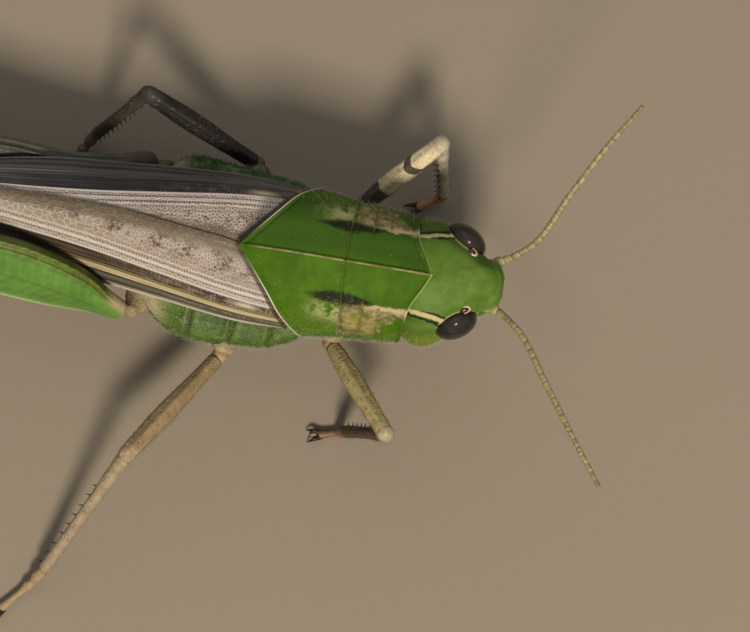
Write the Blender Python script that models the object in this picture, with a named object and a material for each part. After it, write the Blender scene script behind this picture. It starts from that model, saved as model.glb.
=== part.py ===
"""Migratory locust, adult female, as a still life-size model standing on the floor.

Run with: blender --background --python part.py
A place on the animal is written (s, y, z) in millimetres: s runs backwards from the front of
the head, y to the animal's left and z up from the floor.  In the scene +X is forward and the
units are metres.  Every piece is a closed solid, and GAP is the clearance between neighbours.
"""

import math

import bmesh
import bpy
import numpy as np

# ---------------------------------------------------------------- driving sizes, millimetres
MM = 0.001
GAP = 0.08
SHELL = 0.5  # thickness of wings and of the pronotum
LEFT, RIGHT = 1, -1
SIDES = {"left": LEFT, "right": RIGHT}

HEAD_FRONT = 0.0
HEAD_TURN = math.radians(2.0)  # the head looks slightly to the animal's left
NECK = (5.5, 0.0)  # the head turns about this upright line
FACE_BOTTOM = 4.1
HEAD_LEVELS = [  # level z, front s, back s, half width
    (FACE_BOTTOM, 1.30, 4.9, 2.10),
    (4.5, 0.98, 5.5, 2.65),
    (5.2, 0.70, 6.0, 3.00),
    (6.0, 0.45, 6.3, 3.12),
    (7.0, 0.22, 6.4, 3.05),
    (8.0, 0.07, 6.4, 2.90),
    (9.0, HEAD_FRONT, 6.4, 2.70),
    (9.8, 0.05, 6.3, 2.40),
    (10.4, 0.30, 6.2, 2.05),
    (10.8, 0.80, 6.0, 1.65),
    (11.05, 1.60, 5.8, 1.10),
]
HEAD_PLAN = [  # share of the way back, share of the half width
    (0.00, 0.00),
    (0.02, 0.26),
    (0.07, 0.40),
    (0.17, 0.49),
    (0.30, 0.72),
    (0.46, 0.97),
    (0.64, 1.00),
    (0.76, 0.84),
    (0.92, 0.70),
    (1.00, 0.00),
]
EYE_CENTRE = (2.12, 2.06, 8.9)
EYE_RADII = (1.10, 0.74, 1.60)
EYE_YAW = math.radians(31)  # the eye's front end lies nearer the middle

ANTENNA_RADIUS = 0.25
PALP_RADIUS = 0.25
ANTENNAE = {
    "left": [(0.31, 1.28, 8.7), (-1.0, 2.08, 9.4), (-2.7, 4.93, 10.6), (-4.1, 7.3, 11.3),
             (-5.6, 9.5, 11.7)],
    "right": [(0.37, -1.09, 8.7), (-0.7, -1.82, 9.4), (-2.65, -4.68, 10.6), (-4.4, -7.4, 11.3),
              (-5.7, -9.3, 11.7)],
}

PRONOTUM_CREST = [(3.6, 11.4), (6.0, 11.5), (8.0, 11.55), (10.5, 11.8), (13.2, 11.65)]  # s, z
PRONOTUM_SECTION = [  # share across, y, drop below the crest, front edge s, rear edge s
    (0.00, 0.00, 0.00, 3.60, 13.20),
    (0.14, 0.80, 0.28, 3.95, 12.50),
    (0.30, 1.85, 0.75, 4.45, 11.55),
    (0.44, 2.75, 1.75, 4.60, 10.75),
    (0.56, 3.30, 3.05, 4.65, 10.00),
    (0.76, 3.42, 4.70, 4.75, 9.45),
    (1.00, 3.05, 6.35, 5.10, 8.50),
]
PRONOTUM_SPREAD = [(3.6, 0.93), (5.0, 0.98), (8.0, 1.0), (10.0, 1.08), (13.2, 1.10)]  # s, factor on y

THORAX_SHIFT = [(6.55, 0.1), (15.0, 0.1), (16.6, 0.3), (18.6, 0.3)]  # s, how far the chest lies to the left
THORAX_STATIONS = [  # s, half width, inner half width, top, shelf, bottom
    (6.55, 2.10, 1.90, 8.6, 6.4, 4.3),
    (7.4, 2.40, 2.10, 9.2, 6.2, 3.4),
    (8.9, 2.60, 2.20, 9.2, 6.0, 2.8),
    (9.6, 3.55, 2.30, 9.0, 5.9, 2.5),
    (10.6, 4.10, 2.35, 8.8, 5.8, 2.4),
    (13.0, 4.50, 2.20, 8.6, 5.6, 2.3),
    (15.8, 4.60, 1.85, 8.2, 5.5, 2.2),
    (16.6, 4.48, 1.70, 8.0, 5.4, 2.2),
    (17.4, 3.90, 1.50, 7.8, 5.3, 2.1),
    (18.6, 2.60, 1.20, 7.2, 5.2, 2.1),
]
ABDOMEN_STATIONS = [  # s, half width, top, bottom
    (18.75, 1.95, 6.9, 2.3),
    (20.5, 1.88, 6.6, 1.75),
    (26.0, 1.90, 5.8, 1.40),
    (32.0, 1.98, 5.1, 1.25),
    (38.0, 1.95, 4.5, 1.20),
    (43.0, 1.70, 4.1, 1.25),
    (46.6, 1.25, 3.7, 1.40),
]
SEGMENTS = 8
SEGMENT_STEP = 0.12  # height of the rim behind each abdominal ring

WING_START, WING_TIP = 10.35, 57.0
WING_DRIFT = 0.020  # the folded wings swing slightly to the left, per mm backwards
DRIFT_END = 15.0  # over this length
WING_STATIONS = [  # s, ridge z, fold y and z, lower edge y and z on the right, then on the left
    (10.35, 10.5, 2.80, 9.05, 3.40, 6.5, 3.75, 6.5),
    (13.0, 10.75, 2.60, 9.45, 3.40, 6.2, 3.90, 6.3),
    (17.0, 10.85, 2.00, 9.60, 3.00, 6.0, 3.70, 6.3),
    (20.5, 10.60, 1.45, 9.70, 2.65, 5.8, 3.30, 6.9),
    (23.0, 10.45, 1.15, 9.65, 2.38, 5.65, 2.90, 7.9),
    (25.5, 10.25, 0.92, 9.60, 2.10, 5.5, 2.40, 8.2),
    (28.5, 9.90, 0.88, 9.30, 1.98, 5.3, 1.75, 7.2),
    (35.0, 9.10, 0.85, 8.50, 1.75, 4.9, 1.65, 5.2),
    (45.0, 7.50, 0.80, 7.00, 1.55, 4.2, 1.55, 4.2),
    (52.0, 6.30, 0.68, 5.95, 1.20, 4.0, 1.20, 4.0),
    (56.0, 5.65, 0.58, 5.45, 0.95, 4.3, 0.95, 4.3),
    (WING_TIP, 5.35, 0.52, 5.25, 0.80, 4.6, 0.80, 4.6),
]
SUTURE = [  # s and y of the line where the right wing's inner edge lies over the left wing
    (10.35, -0.6), (13.7, 0.13), (16.4, 0.38), (18.7, 0.64), (21.0, 0.76), (25.3, 0.72), (57.0, 0.3)]
FOLD_STRIP = 0.2  # what still shows of the covered wing's upper field beside its fold line

LEGS = {  # root, coxa end, knee, ankle, then the tarsus's own points
    "left_fore": [(7.9, 1.6, 4.7), (7.65, 3.7, 3.6), (4.15, 7.1, 6.7), (3.55, 5.2, 1.45),
                  (3.95, 4.95, 0.42), (4.45, 4.65, 0.34), (4.85, 4.42, 0.30)],
    "right_fore": [(7.9, -1.6, 4.7), (8.15, -3.5, 4.0), (4.56, -7.8, 6.3), (6.6, -7.8, 1.45),
                   (7.05, -7.9, 0.42), (7.6, -8.05, 0.34), (8.0, -8.15, 0.30)],
    "left_mid": [(13.0, 2.2, 4.4), (13.2, 4.9, 3.7), (19.1, 7.1, 7.6), (22.0, 5.4, 1.0),
                 (22.6, 4.55, 0.42), (23.2, 3.6, 0.34), (23.45, 3.0, 0.30)],
    "right_mid": [(13.0, -2.2, 4.4), (13.5, -5.0, 3.7), (17.36, -10.9, 4.9), (20.9, -17.45, 1.0),
                  (21.6, -18.35, 0.42), (22.3, -19.15, 0.34), (22.8, -19.75, 0.30)],
}
FEMUR_SWELL = {
    "fore": [0.74, 0.86, 0.95, 1.0, 1.02, 1.0, 0.95, 0.88, 0.95, 0.86],
    "mid": [0.80, 0.82, 0.84, 0.90, 0.98, 1.03, 1.03, 0.96, 0.98, 0.86],
}
SMALL_FEMUR = {"fore": (0.52, 0.64), "mid": (0.52, 0.68)}  # half breadth and half depth at the middle
SMALL_TIBIA = {"fore": 0.34, "mid": 0.32}
HIND_ROOT = (17.3, 1.9, 4.0)
HIND_FEMUR = {
    "left": [(18.3, 4.25, 4.4), (20.3, 3.55, 4.5), (22.5, 3.05, 4.8), (26.0, 3.1, 5.4),
             (33.0, 3.2, 7.1), (41.3, 3.3, 9.3)],
    "right": [(18.6, -3.8, 5.2), (20.3, -3.35, 6.1), (22.5, -3.0, 7.4), (26.0, -2.65, 8.9),
              (33.0, -2.25, 10.9), (41.3, -2.0, 12.4)],
}
HIND_LEAN = {"left": 0.15, "right": 1.0}  # how much of the lean below each thigh takes
TIBIA_BEND = [(0.35, -1.30), (0.2, -1.85), (-0.7, -2.5)]  # s and z from the knee, down the bent upper end
HIND_TARSUS = {  # heel, then the foot's own points
    "left": [(28.3, 3.5, 1.35), (28.2, 3.5, 0.55), (29.6, 3.6, 0.48), (31.3, 3.7, 0.38),
             (32.9, 3.8, 0.34)],
    "right": [(25.3, -3.0, 1.35), (25.2, -3.0, 0.55), (26.6, -3.05, 0.48), (28.3, -3.1, 0.38),
              (29.9, -3.15, 0.34)],
}
FEMUR_STATIONS = [  # share of the length, half depth, half thickness, inward lean in degrees
    (0.00, 0.62, 0.48, 0),
    (0.05, 1.10, 0.62, 6),
    (0.14, 2.05, 0.86, 14),
    (0.28, 2.65, 0.98, 20),
    (0.42, 2.50, 0.95, 18),
    (0.60, 1.75, 0.80, 14),
    (0.78, 1.05, 0.58, 6),
    (0.90, 0.84, 0.52, 0),
    (0.96, 1.02, 0.58, 0),
    (1.00, 1.05, 0.60, 0),
]
SPINES_PER_ROW = 8
SPINE_LENGTH = 0.95

COLOURS = {  # name: (red, green, blue, roughness)
    "green": (0.10, 0.27, 0.03, 0.45),
    "green_pleura": (0.16, 0.30, 0.05, 0.55),
    "wing": (0.33, 0.26, 0.20, 0.45),
    "hindwing": (0.45, 0.42, 0.30, 0.35),
    "leg": (0.30, 0.23, 0.12, 0.40),
    "abdomen": (0.42, 0.40, 0.20, 0.50),
    "eye": (0.05, 0.045, 0.04, 0.12),
    "antenna": (0.28, 0.24, 0.13, 0.50),
    "mouth": (0.30, 0.33, 0.13, 0.45),
}


# ---------------------------------------------------------------- small mathematics
def at(s, y, z):
    """Scene place, still in millimetres, of the point (s, y, z) on the animal."""
    return np.stack(np.broadcast_arrays(-np.asarray(s, float), y, z), axis=-1)


def through(rows, where):
    """Smooth curves through keyed rows (x, a, b, ...): cubic Hermite pieces with mean slopes."""
    table = np.array(rows, float)
    x, values = table[:, 0], table[:, 1:]
    slope = np.gradient(values, x, axis=0)
    where = np.atleast_1d(where).astype(float)
    k = np.clip(np.searchsorted(x, where, side="right") - 1, 0, len(x) - 2)
    span = (x[k + 1] - x[k])[:, None]
    t = np.clip((where - x[k])[:, None] / span, 0, 1)
    start = (1 + 2 * t) * (1 - t) ** 2 * values[k] + t * (1 - t) ** 2 * span * slope[k]
    end = t * t * (3 - 2 * t) * values[k + 1] + t * t * (t - 1) * span * slope[k + 1]
    return (start + end).T


def spline(points, count):
    """A smooth path of count points through the given places, evenly spaced along it."""
    points = np.array(points, float)
    length = np.r_[0, np.cumsum(np.linalg.norm(np.diff(points, axis=0), axis=1))]
    rows = np.column_stack([length, points])
    return through(rows, np.linspace(0, length[-1], count)).T


def unit(vectors):
    return vectors / np.linalg.norm(vectors, axis=-1, keepdims=True)


def turn_head(points):
    """Turns points of the head about the neck."""
    pivot = np.array((-NECK[0], NECK[1], 0.0))
    c, s = math.cos(HEAD_TURN), math.sin(HEAD_TURN)
    turned = (points - pivot) @ np.array(((c, s, 0), (-s, c, 0), (0, 0, 1)))
    return turned + pivot


# ---------------------------------------------------------------- making solids
def material(name):
    found = bpy.data.materials.get(name)
    if found:
        return found
    made = bpy.data.materials.new(name)
    made.use_nodes = True
    red, green, blue, rough = COLOURS[name]
    shader = made.node_tree.nodes["Principled BSDF"]
    shader.inputs["Base Color"].default_value = (red, green, blue, 1)
    shader.inputs["Roughness"].default_value = rough
    shader.inputs["Metallic"].default_value = 0.0
    return made


def solid(name, points, faces, look):
    """One closed object from points in millimetres, its faces turned outward."""
    mesh = bpy.data.meshes.new(name)
    mesh.from_pydata((np.asarray(points) * MM).tolist(), [], faces)
    work = bmesh.new()
    work.from_mesh(mesh)
    bmesh.ops.recalc_face_normals(work, faces=work.faces)
    bmesh.ops.triangulate(work, faces=[f for f in work.faces if len(f.verts) > 4])
    work.to_mesh(mesh)
    work.free()
    mesh.shade_smooth()
    mesh.materials.append(material(look))
    made = bpy.data.objects.new(name, mesh)
    bpy.context.collection.objects.link(made)
    return made


def loft(name, rings, look):
    """A solid through rings of equal count; each end is closed to a point at its middle."""
    rings = np.asarray(rings)
    rows, count = rings.shape[:2]
    points = np.concatenate([rings.reshape(-1, 3), rings[:1].mean(1), rings[-1:].mean(1)])
    faces = []
    for r in range(rows - 1):
        for c in range(count):
            n = (c + 1) % count
            a, b = r * count, (r + 1) * count
            faces.append((a + c, a + n, b + n, b + c))
    for c in range(count):
        n = (c + 1) % count
        last = (rows - 1) * count
        faces.append((rows * count, n, c))
        faces.append((rows * count + 1, last + c, last + n))
    return solid(name, points, faces, look)


def limb(name, path, deep, wide, side, look, sides=8, lean=0.0, floor=False):
    """A solid along a path: deep and wide are half sizes, side is the direction that wide runs in,
    lean turns the section about the path, and floor flattens what would reach below z = 0."""
    path = np.asarray(path)
    along = unit(np.gradient(path, axis=0))
    across = np.broadcast_to(np.asarray(side, float), path.shape)
    across = unit(across - along * np.sum(across * along, axis=1, keepdims=True))
    upward = np.cross(along, across)
    angle = np.broadcast_to(np.asarray(lean, float), len(path))[:, None]
    across, upward = (across * np.cos(angle) + upward * np.sin(angle),
                      upward * np.cos(angle) - across * np.sin(angle))
    turn = np.linspace(0, 2 * math.pi, sides, endpoint=False)
    wide = np.broadcast_to(wide, len(path))[:, None, None]
    deep = np.broadcast_to(deep, len(path))[:, None, None]
    rings = (path[:, None] + across[:, None] * wide * np.cos(turn)[None, :, None]
             + upward[:, None] * deep * np.sin(turn)[None, :, None])
    if floor:
        rings[..., 2] = np.maximum(rings[..., 2], 0.0)
    return loft(name, rings, look)


def shell(name, grid, look, drop=None):
    """A sheet whose outer face is the grid of points.  The inner face lies SHELL below it along the
    surface's own normal, or by the given drop."""
    rows, count = grid.shape[:2]
    if drop is None:
        normal = unit(np.cross(np.gradient(grid, axis=0), np.gradient(grid, axis=1)))
        drop = normal * SHELL * -np.sign(normal[rows // 2, count // 2, 2])
    points = np.concatenate([grid.reshape(-1, 3), (grid + drop).reshape(-1, 3)])
    under = rows * count
    faces = []
    for r in range(rows - 1):
        for c in range(count - 1):
            a = r * count + c
            quad = (a, a + 1, a + count + 1, a + count)
            faces.append(quad)
            faces.append(tuple(under + i for i in reversed(quad)))
    rim = list(range(count))
    rim += [r * count + count - 1 for r in range(1, rows)]
    rim += [(rows - 1) * count + c for c in range(count - 2, -1, -1)]
    rim += [r * count for r in range(rows - 2, 0, -1)]
    for i, a in enumerate(rim):
        b = rim[(i + 1) % len(rim)]
        faces.append((a, b, under + b, under + a))
    return solid(name, points, faces, look)


def mould(source, grow=GAP):
    """A hidden copy of a solid grown by the clearance, for cutting its neighbours."""
    copy = source.copy()
    copy.data = source.data.copy()
    copy.name = source.name + "_mould"
    bpy.context.collection.objects.link(copy)
    normals = np.array([v.normal for v in copy.data.vertices])
    for vertex, normal in zip(copy.data.vertices, normals):
        vertex.co += grow * MM * type(vertex.co)(normal)
    copy.hide_render = True
    copy.display_type = "WIRE"
    return copy


def boolean(body, other, operation):
    step = body.modifiers.new(operation.lower() + "_" + other.name, "BOOLEAN")
    step.operation = operation
    step.solver = "EXACT"
    step.object = other


def hidden(made):
    made.hide_render = True
    made.display_type = "WIRE"
    return made


# ---------------------------------------------------------------- head
def head_ring(level, count=22):
    """Outline of the head at one level: HEAD_PLAN stretched to that level's length and width."""
    front, back, half = (v[0] for v in through(HEAD_LEVELS, level))
    turn = np.linspace(0, math.pi, count // 2 + 1)
    share = (1 - np.cos(turn)) / 2
    width = half * np.clip(through(HEAD_PLAN, share)[0], 0, None)
    share = np.r_[share, share[-2:0:-1]]
    width = np.r_[width, -width[-2:0:-1]]
    return turn_head(at(front + (back - front) * share, width, level))


def make_head():
    levels = [4.1, 4.5, 5.2, 6.0, 7.0, 8.0, 9.0, 9.8, 10.4, 10.8, 11.05]
    head = loft("head", [head_ring(z) for z in levels], "green")
    for name, side in SIDES.items():
        eye = make_eye(name, side)
        boolean(head, mould(eye), "DIFFERENCE")
    return head


def make_eye(name, side):
    """An egg of EYE_RADII turned by EYE_YAW."""
    height = np.linspace(-1, 1, 9)[1:-1]
    around = np.linspace(0, 2 * math.pi, 12, endpoint=False)
    ring = np.sqrt(1 - height**2)[:, None]
    along = EYE_RADII[0] * ring * np.cos(around)
    out = EYE_RADII[1] * ring * np.sin(around)
    s = EYE_CENTRE[0] + along * math.cos(EYE_YAW) - out * math.sin(EYE_YAW)
    y = EYE_CENTRE[1] + along * math.sin(EYE_YAW) + out * math.cos(EYE_YAW)
    z = EYE_CENTRE[2] + EYE_RADII[2] * height[:, None] + 0 * along
    return loft(name + "_eye", turn_head(at(s, side * y, z)), "eye")


def make_antenna(name, head_mould):
    path = turn_head(at(*spline(ANTENNAE[name], 22).T))
    radius = np.full(len(path), ANTENNA_RADIUS)
    radius[:3] = (0.42, 0.40, 0.30)
    antenna = limb(name + "_antenna", path, radius, radius, (0, 0, 1), "antenna", sides=6)
    boolean(antenna, head_mould, "DIFFERENCE")


def block(name, levels, middle=0.0):
    """A rounded wedge of a mouthpart through levels (z, front s, back s, half width) about y = middle."""
    turn = np.linspace(0, 2 * math.pi, 8, endpoint=False)
    rings = []
    for z, front, back, half in levels:
        s = (front + back) / 2 - (back - front) / 2 * np.cos(turn)
        rings.append(turn_head(at(s, middle + half * np.sin(turn), z)))
    return loft(name, rings, "mouth")


def make_mouthparts():
    top = FACE_BOTTOM - GAP
    block("labrum", [(top, 1.3, 2.05, 1.25), (3.4, 1.3, 2.0, 1.3), (2.5, 1.55, 2.05, 1.0)])
    block("labium", [(top, 4.0, 4.7, 1.3), (3.3, 3.85, 4.6, 1.35), (2.7, 3.8, 4.4, 0.9)])
    for name, side in SIDES.items():
        block(name + "_mandible", [(top, 2.15, 2.95, 0.96), (3.2, 2.15, 2.85, 0.90),
                                   (2.75, 2.3, 2.7, 0.67)], side * 1.04)
        cheek = block(name + "_maxilla", [(top, 3.05, 3.85, 0.91), (3.2, 3.05, 3.72, 0.86),
                                          (2.8, 3.1, 3.6, 0.64)], side * 0.99)
        palp = spline([(3.4, side * 1.4, 3.5), (3.1, side * 2.35, 2.95), (2.5, side * 2.6, 2.2),
                       (2.1, side * 2.45, 1.6)], 8)
        feeler = limb(name + "_palp", turn_head(at(*palp.T)), PALP_RADIUS, PALP_RADIUS, (1, 0, 0),
                      "mouth", sides=6)
        boolean(cheek, hidden(feeler), "UNION")


# ---------------------------------------------------------------- thorax
def make_pronotum():
    """The saddle behind the head: PRONOTUM_SECTION swept along the crest between its own edges."""
    across = np.linspace(-1, 1, 15)
    y, drop, front, rear = through(PRONOTUM_SECTION, np.abs(across))
    share = np.linspace(0, 1, 12)[:, None]
    s = front + (rear - front) * share
    crest = through(PRONOTUM_CREST, s.ravel())[0].reshape(s.shape)
    spread = through(PRONOTUM_SPREAD, s.ravel())[0].reshape(s.shape)
    grid = at(s, np.sign(across) * y * spread, crest - drop)
    return shell("pronotum", grid, "green")


def thorax_ring(half, inner, top, shelf, bottom):
    """Half section from the belly up: a wide lower side, a shelf under the wings, a narrow back."""
    keys = [(0.0, bottom), (0.55 * half, bottom + 0.12), (0.88 * half, bottom + 0.8),
            (half, bottom + 1.9), (0.97 * half, shelf - 0.35), (0.72 * half + 0.1 * inner, shelf),
            (inner, shelf + 0.5), (inner * 0.86, top - 1.0), (inner * 0.5, top - 0.25)]
    y, z = np.array(keys + [(0.0, top)]).T
    return np.r_[y, -y[-2:0:-1]], np.r_[z, z[-2:0:-1]]


def make_thorax():
    rings = []
    for s in np.r_[6.55, 7.4, 8.4, 8.9, 9.25, 9.6, 10.6, 12.0, 13.5, 15.0, 16.2, 17.4, 18.1, 18.6]:
        y, z = thorax_ring(*(v[0] for v in through(THORAX_STATIONS, s)))
        rings.append(at(s, y + through(THORAX_SHIFT, s)[0][0], z))
    return loft("thorax", rings, "green_pleura")


# ---------------------------------------------------------------- abdomen
def abdomen_ring(s, grow=0.0, count=14):
    """Egg section, wider below: y = w sin t (1 + k cos t), z between bottom and top."""
    half, top, bottom = (v[0] for v in through(ABDOMEN_STATIONS, s))
    turn = np.linspace(0, 2 * math.pi, count, endpoint=False)
    y = (half + grow) * np.sin(turn) * (0.86 - 0.26 * np.cos(turn))
    z = (top + bottom) / 2 + ((top - bottom) / 2 + grow) * np.cos(turn)
    return at(s, y, z)


def make_abdomen():
    """Eight rings; behind each the next one starts slightly smaller."""
    first, last = ABDOMEN_STATIONS[0][0], ABDOMEN_STATIONS[-1][0]
    edges = np.linspace(first, last, SEGMENTS + 1)
    rings = []
    for start, end in zip(edges[:-1], edges[1:]):
        rings += [abdomen_ring(start, -SEGMENT_STEP), abdomen_ring(end - 0.05)]
    loft("abdomen", rings, "abdomen")


def make_tail():
    """The digging valves as one forked piece, an upper and a lower prong, and the two cerci."""
    end = ABDOMEN_STATIONS[-1][0] + GAP
    prongs = []
    for name, sign, base in (("ovipositor", 1, 3.35), ("lower_prong", -1, 2.45)):
        height = base + sign * np.array([0, 0.12, 0.2, 0.25, 0.45, 0.9])
        size = np.array([0.5, 0.5, 0.46, 0.4, 0.3, 0.1])
        path = at(np.linspace(end, end + 2.9, len(height)), 0, height)
        prongs.append(limb(name, path, size, size * 1.5, (0, 1, 0), "abdomen"))
    boolean(prongs[0], hidden(prongs[1]), "UNION")
    for name, side in SIDES.items():
        share = np.linspace(0, 1, 5)
        path = at(end - 0.9 + 1.4 * share, side * (1.42 + 0.13 * share), 2.9 + 0.2 * share)
        limb(name + "_cercus", path, [0.27, 0.32, 0.30, 0.27, 0.12], 0.26, (0, 1, 0), "abdomen",
             sides=6)


# ---------------------------------------------------------------- wings
def roof(s, y):
    """Height of the folded wings' upper field at (s, y), between the ridge and the fold line."""
    ridge, fold_y, fold_z = through(WING_STATIONS, s)[:3]
    return ridge - (ridge - fold_z) * np.abs(y / fold_y) ** 1.4


def wing_sections(side, stations):
    """Rows (y, z) across one folded forewing, from the inner edge over the fold to the lower edge."""
    _, fold_y, fold_z, *edges = through(WING_STATIONS, stations)
    low_y, low_z = edges[:2] if side == RIGHT else edges[2:]
    suture = np.minimum(through(SUTURE, stations)[0], fold_y - FOLD_STRIP)
    edge = -suture if side == RIGHT else suture + GAP
    y = [edge + share * (fold_y - edge) for share in (0, 0.33, 0.67, 1)]
    z = [roof(stations, across) for across in y]
    for share, bulge in ((0.33, 0.13), (0.67, 0.13), (1.0, 0.0)):
        y.append(fold_y + (low_y - fold_y) * share + bulge * np.minimum(1, low_y / 2))
        z.append(fold_z + (low_z - fold_z) * share)
    return np.array(y).T, np.array(z).T


def make_forewing(name, side):
    """A sheet over the back, thickened towards a line inside the roof that both wings form."""
    stations = np.r_[np.linspace(WING_START, 25.0, 8), np.linspace(29.0, 54.0, 7), 56.2, WING_TIP]
    y, z = wing_sections(side, stations)
    drift = WING_DRIFT * np.clip(stations - WING_START, 0, DRIFT_END)[:, None]
    ridge, _, _, _, low_z, *_ = through(WING_STATIONS, stations)
    heart = ((ridge + low_z) / 2 - 0.4)[:, None]
    reach = np.hypot(y, z - heart)
    inward = np.minimum(SHELL, 0.75 * reach) / reach
    drop = at(0 * y, -side * y * inward, (heart - z) * inward)
    shell(name + "_forewing", at(stations[:, None], side * y + drift, z), "wing", drop)


def make_hindwing(name, side):
    """The fan folded away under the forewings: one narrow blade each side of the middle."""
    stations = np.linspace(14.0, 50.0, 10)
    fold_y = through(WING_STATIONS, stations)[1]
    drift = WING_DRIFT * np.clip(stations - WING_START, 0, DRIFT_END)[:, None]
    y = 0.06 + (np.maximum(0.5, fold_y - 0.9)[:, None] - 0.06) * np.array([0, 0.5, 1.0])
    z = roof(stations, 0 * stations)[:, None] - 1.6 * SHELL - 0.5 * y - 0.1
    shell(name + "_hindwing", at(stations[:, None], side * y + drift, z), "hindwing", (0, 0, -SHELL))


# ---------------------------------------------------------------- legs
def rounded(radius):
    """Half sizes along a path, drawn in at both ends so that the ends are domes."""
    size = np.array(radius, float)
    size[0] *= 0.55
    size[-1] *= 0.55
    return size


def claw_pair(name, tip, heading, body):
    """Two hooked claws joined to the end of a tarsus, their points on the floor."""
    side = np.array((-heading[1], heading[0], 0.0))
    for sign in SIDES.values():
        start = tip - heading * 0.25
        middle = tip + heading * 0.28 + side * sign * 0.24 + np.array((0, 0, 0.12))
        end = tip + heading * 0.62 + side * sign * 0.34
        end[2] = 0.06
        claw = limb(f"{name}_claw{sign}", spline([start, middle, end], 4), [0.17, 0.16, 0.12, 0.05],
                    [0.15, 0.14, 0.10, 0.05], (0, 0, 1), "leg", sides=5, floor=True)
        boolean(body, hidden(claw), "UNION")


def make_tarsus(name, ankle, points, radius):
    """Foot of three padded joints lying on the floor, with its claws."""
    path = spline(at(*np.array([ankle] + points).T), 9)
    swell = radius * np.array([0.75, 1.1, 0.85, 1.05, 0.8, 0.72, 0.7, 0.85, 0.6])
    path[:, 2] = np.maximum(path[:, 2], swell * 0.8)
    foot = limb(name + "_tarsus", path, swell, swell, (0, 0, 1), "leg", sides=6, floor=True)
    heading = path[-1] - path[-3]
    heading[2] = 0
    claw_pair(name, path[-1], unit(heading), foot)


def make_small_leg(name, points, thorax_mould):
    root, hip, knee, ankle, *foot = (np.array(p) for p in points)
    pair = name.split("_")[1]
    breadth, depth = SMALL_FEMUR[pair]
    coxa = spline(at(*np.array([root, (root + hip) / 2, hip]).T), 6)
    base = limb(name + "_coxa", coxa, rounded([1.0, 1.0, 0.98, 0.9, 0.74, 0.55]),
                rounded([0.9, 0.9, 0.86, 0.8, 0.7, 0.55]), (1, 0, 0), "leg", sides=10)
    boolean(base, thorax_mould, "DIFFERENCE")
    hip, knee, ankle = at(*hip), at(*knee), at(*ankle)
    thigh = unit(knee - hip)
    start = hip + thigh * 0.26
    swell = np.array(FEMUR_SWELL[pair])
    path = start + (knee + thigh * breadth * 0.8 - start) * np.linspace(0, 1, len(swell))[:, None]
    limb(name + "_femur", path, rounded(breadth * swell), rounded(depth * swell), (0, 0, 1), "leg")
    shin = unit(ankle - knee)
    start = knee + shin * (depth * 1.05 + GAP)
    path = start + (ankle - start) * np.linspace(0, 1, 7)[:, None]
    swell = SMALL_TIBIA[pair] * np.array([1.1, 1.2, 1.05, 1.0, 1.0, 1.1, 1.05])
    limb(name + "_tibia", path, rounded(swell), rounded(swell), (0, 0, 1), "leg", sides=6)
    first = points[3] + unit(np.array(points[4]) - points[3]) * (0.2 + GAP)
    make_tarsus(name, first, foot, 0.32)


def make_spines(name, path):
    """Two rows of spines down the back of a hind tibia, as one hidden piece to be joined to it."""
    points, faces = [], []
    along = unit(np.gradient(path, axis=0))
    for row in SIDES.values():
        for share in np.linspace(0.22, 0.93, SPINES_PER_ROW):
            k = share * (len(path) - 1)
            low = int(k)
            foot = path[low] + (path[low + 1] - path[low]) * (k - low)
            forward = along[low]
            back = unit(np.cross(np.array((0.0, 1.0, 0.0)), forward))
            back = back if back[0] < 0 else -back
            out = unit(back + np.array((0.0, row * 0.75, 0.0)))
            tip = foot + out * (0.4 + SPINE_LENGTH * 0.75) + forward * SPINE_LENGTH * 0.45
            first = len(points)
            for corner in range(4):
                turn = corner * math.pi / 2
                points.append(foot + out * 0.2 + 0.17 * (math.cos(turn) * forward
                                                         + math.sin(turn) * np.cross(out, forward)))
            points.append(tip)
            faces.append(tuple(first + c for c in range(4)))
            faces += [(first + c, first + (c + 1) % 4, first + 4) for c in range(4)]
    return hidden(solid(name + "_spines", points, faces, "leg"))


def make_hind_leg(side_name, thorax_mould):
    name, side = side_name + "_hind", SIDES[side_name]
    flip = np.array((1, side, 1))
    thigh = np.array(HIND_FEMUR[side_name])
    hip, knee = thigh[0], thigh[-1]
    root = np.array(HIND_ROOT) * flip
    coxa = spline(at(*np.array([root, (root + hip) / 2 + (0, 0, -0.35), hip - (0.32, 0, 0.25)]).T), 6)
    base = limb(name + "_coxa", coxa, rounded([1.2, 1.2, 1.15, 1.05, 0.85, 0.7]),
                rounded([1.1, 1.1, 1.0, 0.9, 0.75, 0.6]), (0, 1, 0), "leg", sides=10)
    boolean(base, thorax_mould, "DIFFERENCE")
    share = np.array([0, 0.04, 0.10, 0.18, 0.27, 0.36, 0.46, 0.57, 0.68, 0.79, 0.89, 0.95, 1.0, 1.0])
    path = at(*spline(thigh, 101)[np.round(share * 100).astype(int)].T)
    path[0] += unit(path[1] - path[0]) * 0.35
    path[-1] += unit(path[-2] - path[-3]) * 0.5
    deep, wide, lean = through(FEMUR_STATIONS, share)
    deep[-1] *= 0.7
    wide[-1] *= 0.7
    limb(name + "_femur", path, deep, wide, (0, side, 0), "green", sides=10,
         lean=np.radians(lean) * HIND_LEAN[side_name])
    heel, *foot = (np.array(p) for p in HIND_TARSUS[side_name])
    bend = [knee + (s, 0, z) for s, z in TIBIA_BEND]
    path = spline(at(*np.array(bend + [(bend[-1] + heel) / 2, heel]).T), 15)
    size = np.array([0.3, 0.46, 0.5, 0.46, 0.42, 0.4, 0.4, 0.4, 0.4, 0.4, 0.4, 0.42, 0.44, 0.48, 0.34])
    shin = limb(name + "_tibia", path, size, size, (0, 1, 0), "leg", sides=8)
    boolean(shin, make_spines(name, path), "UNION")
    make_tarsus(name, foot[0], foot[1:], 0.5)


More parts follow.
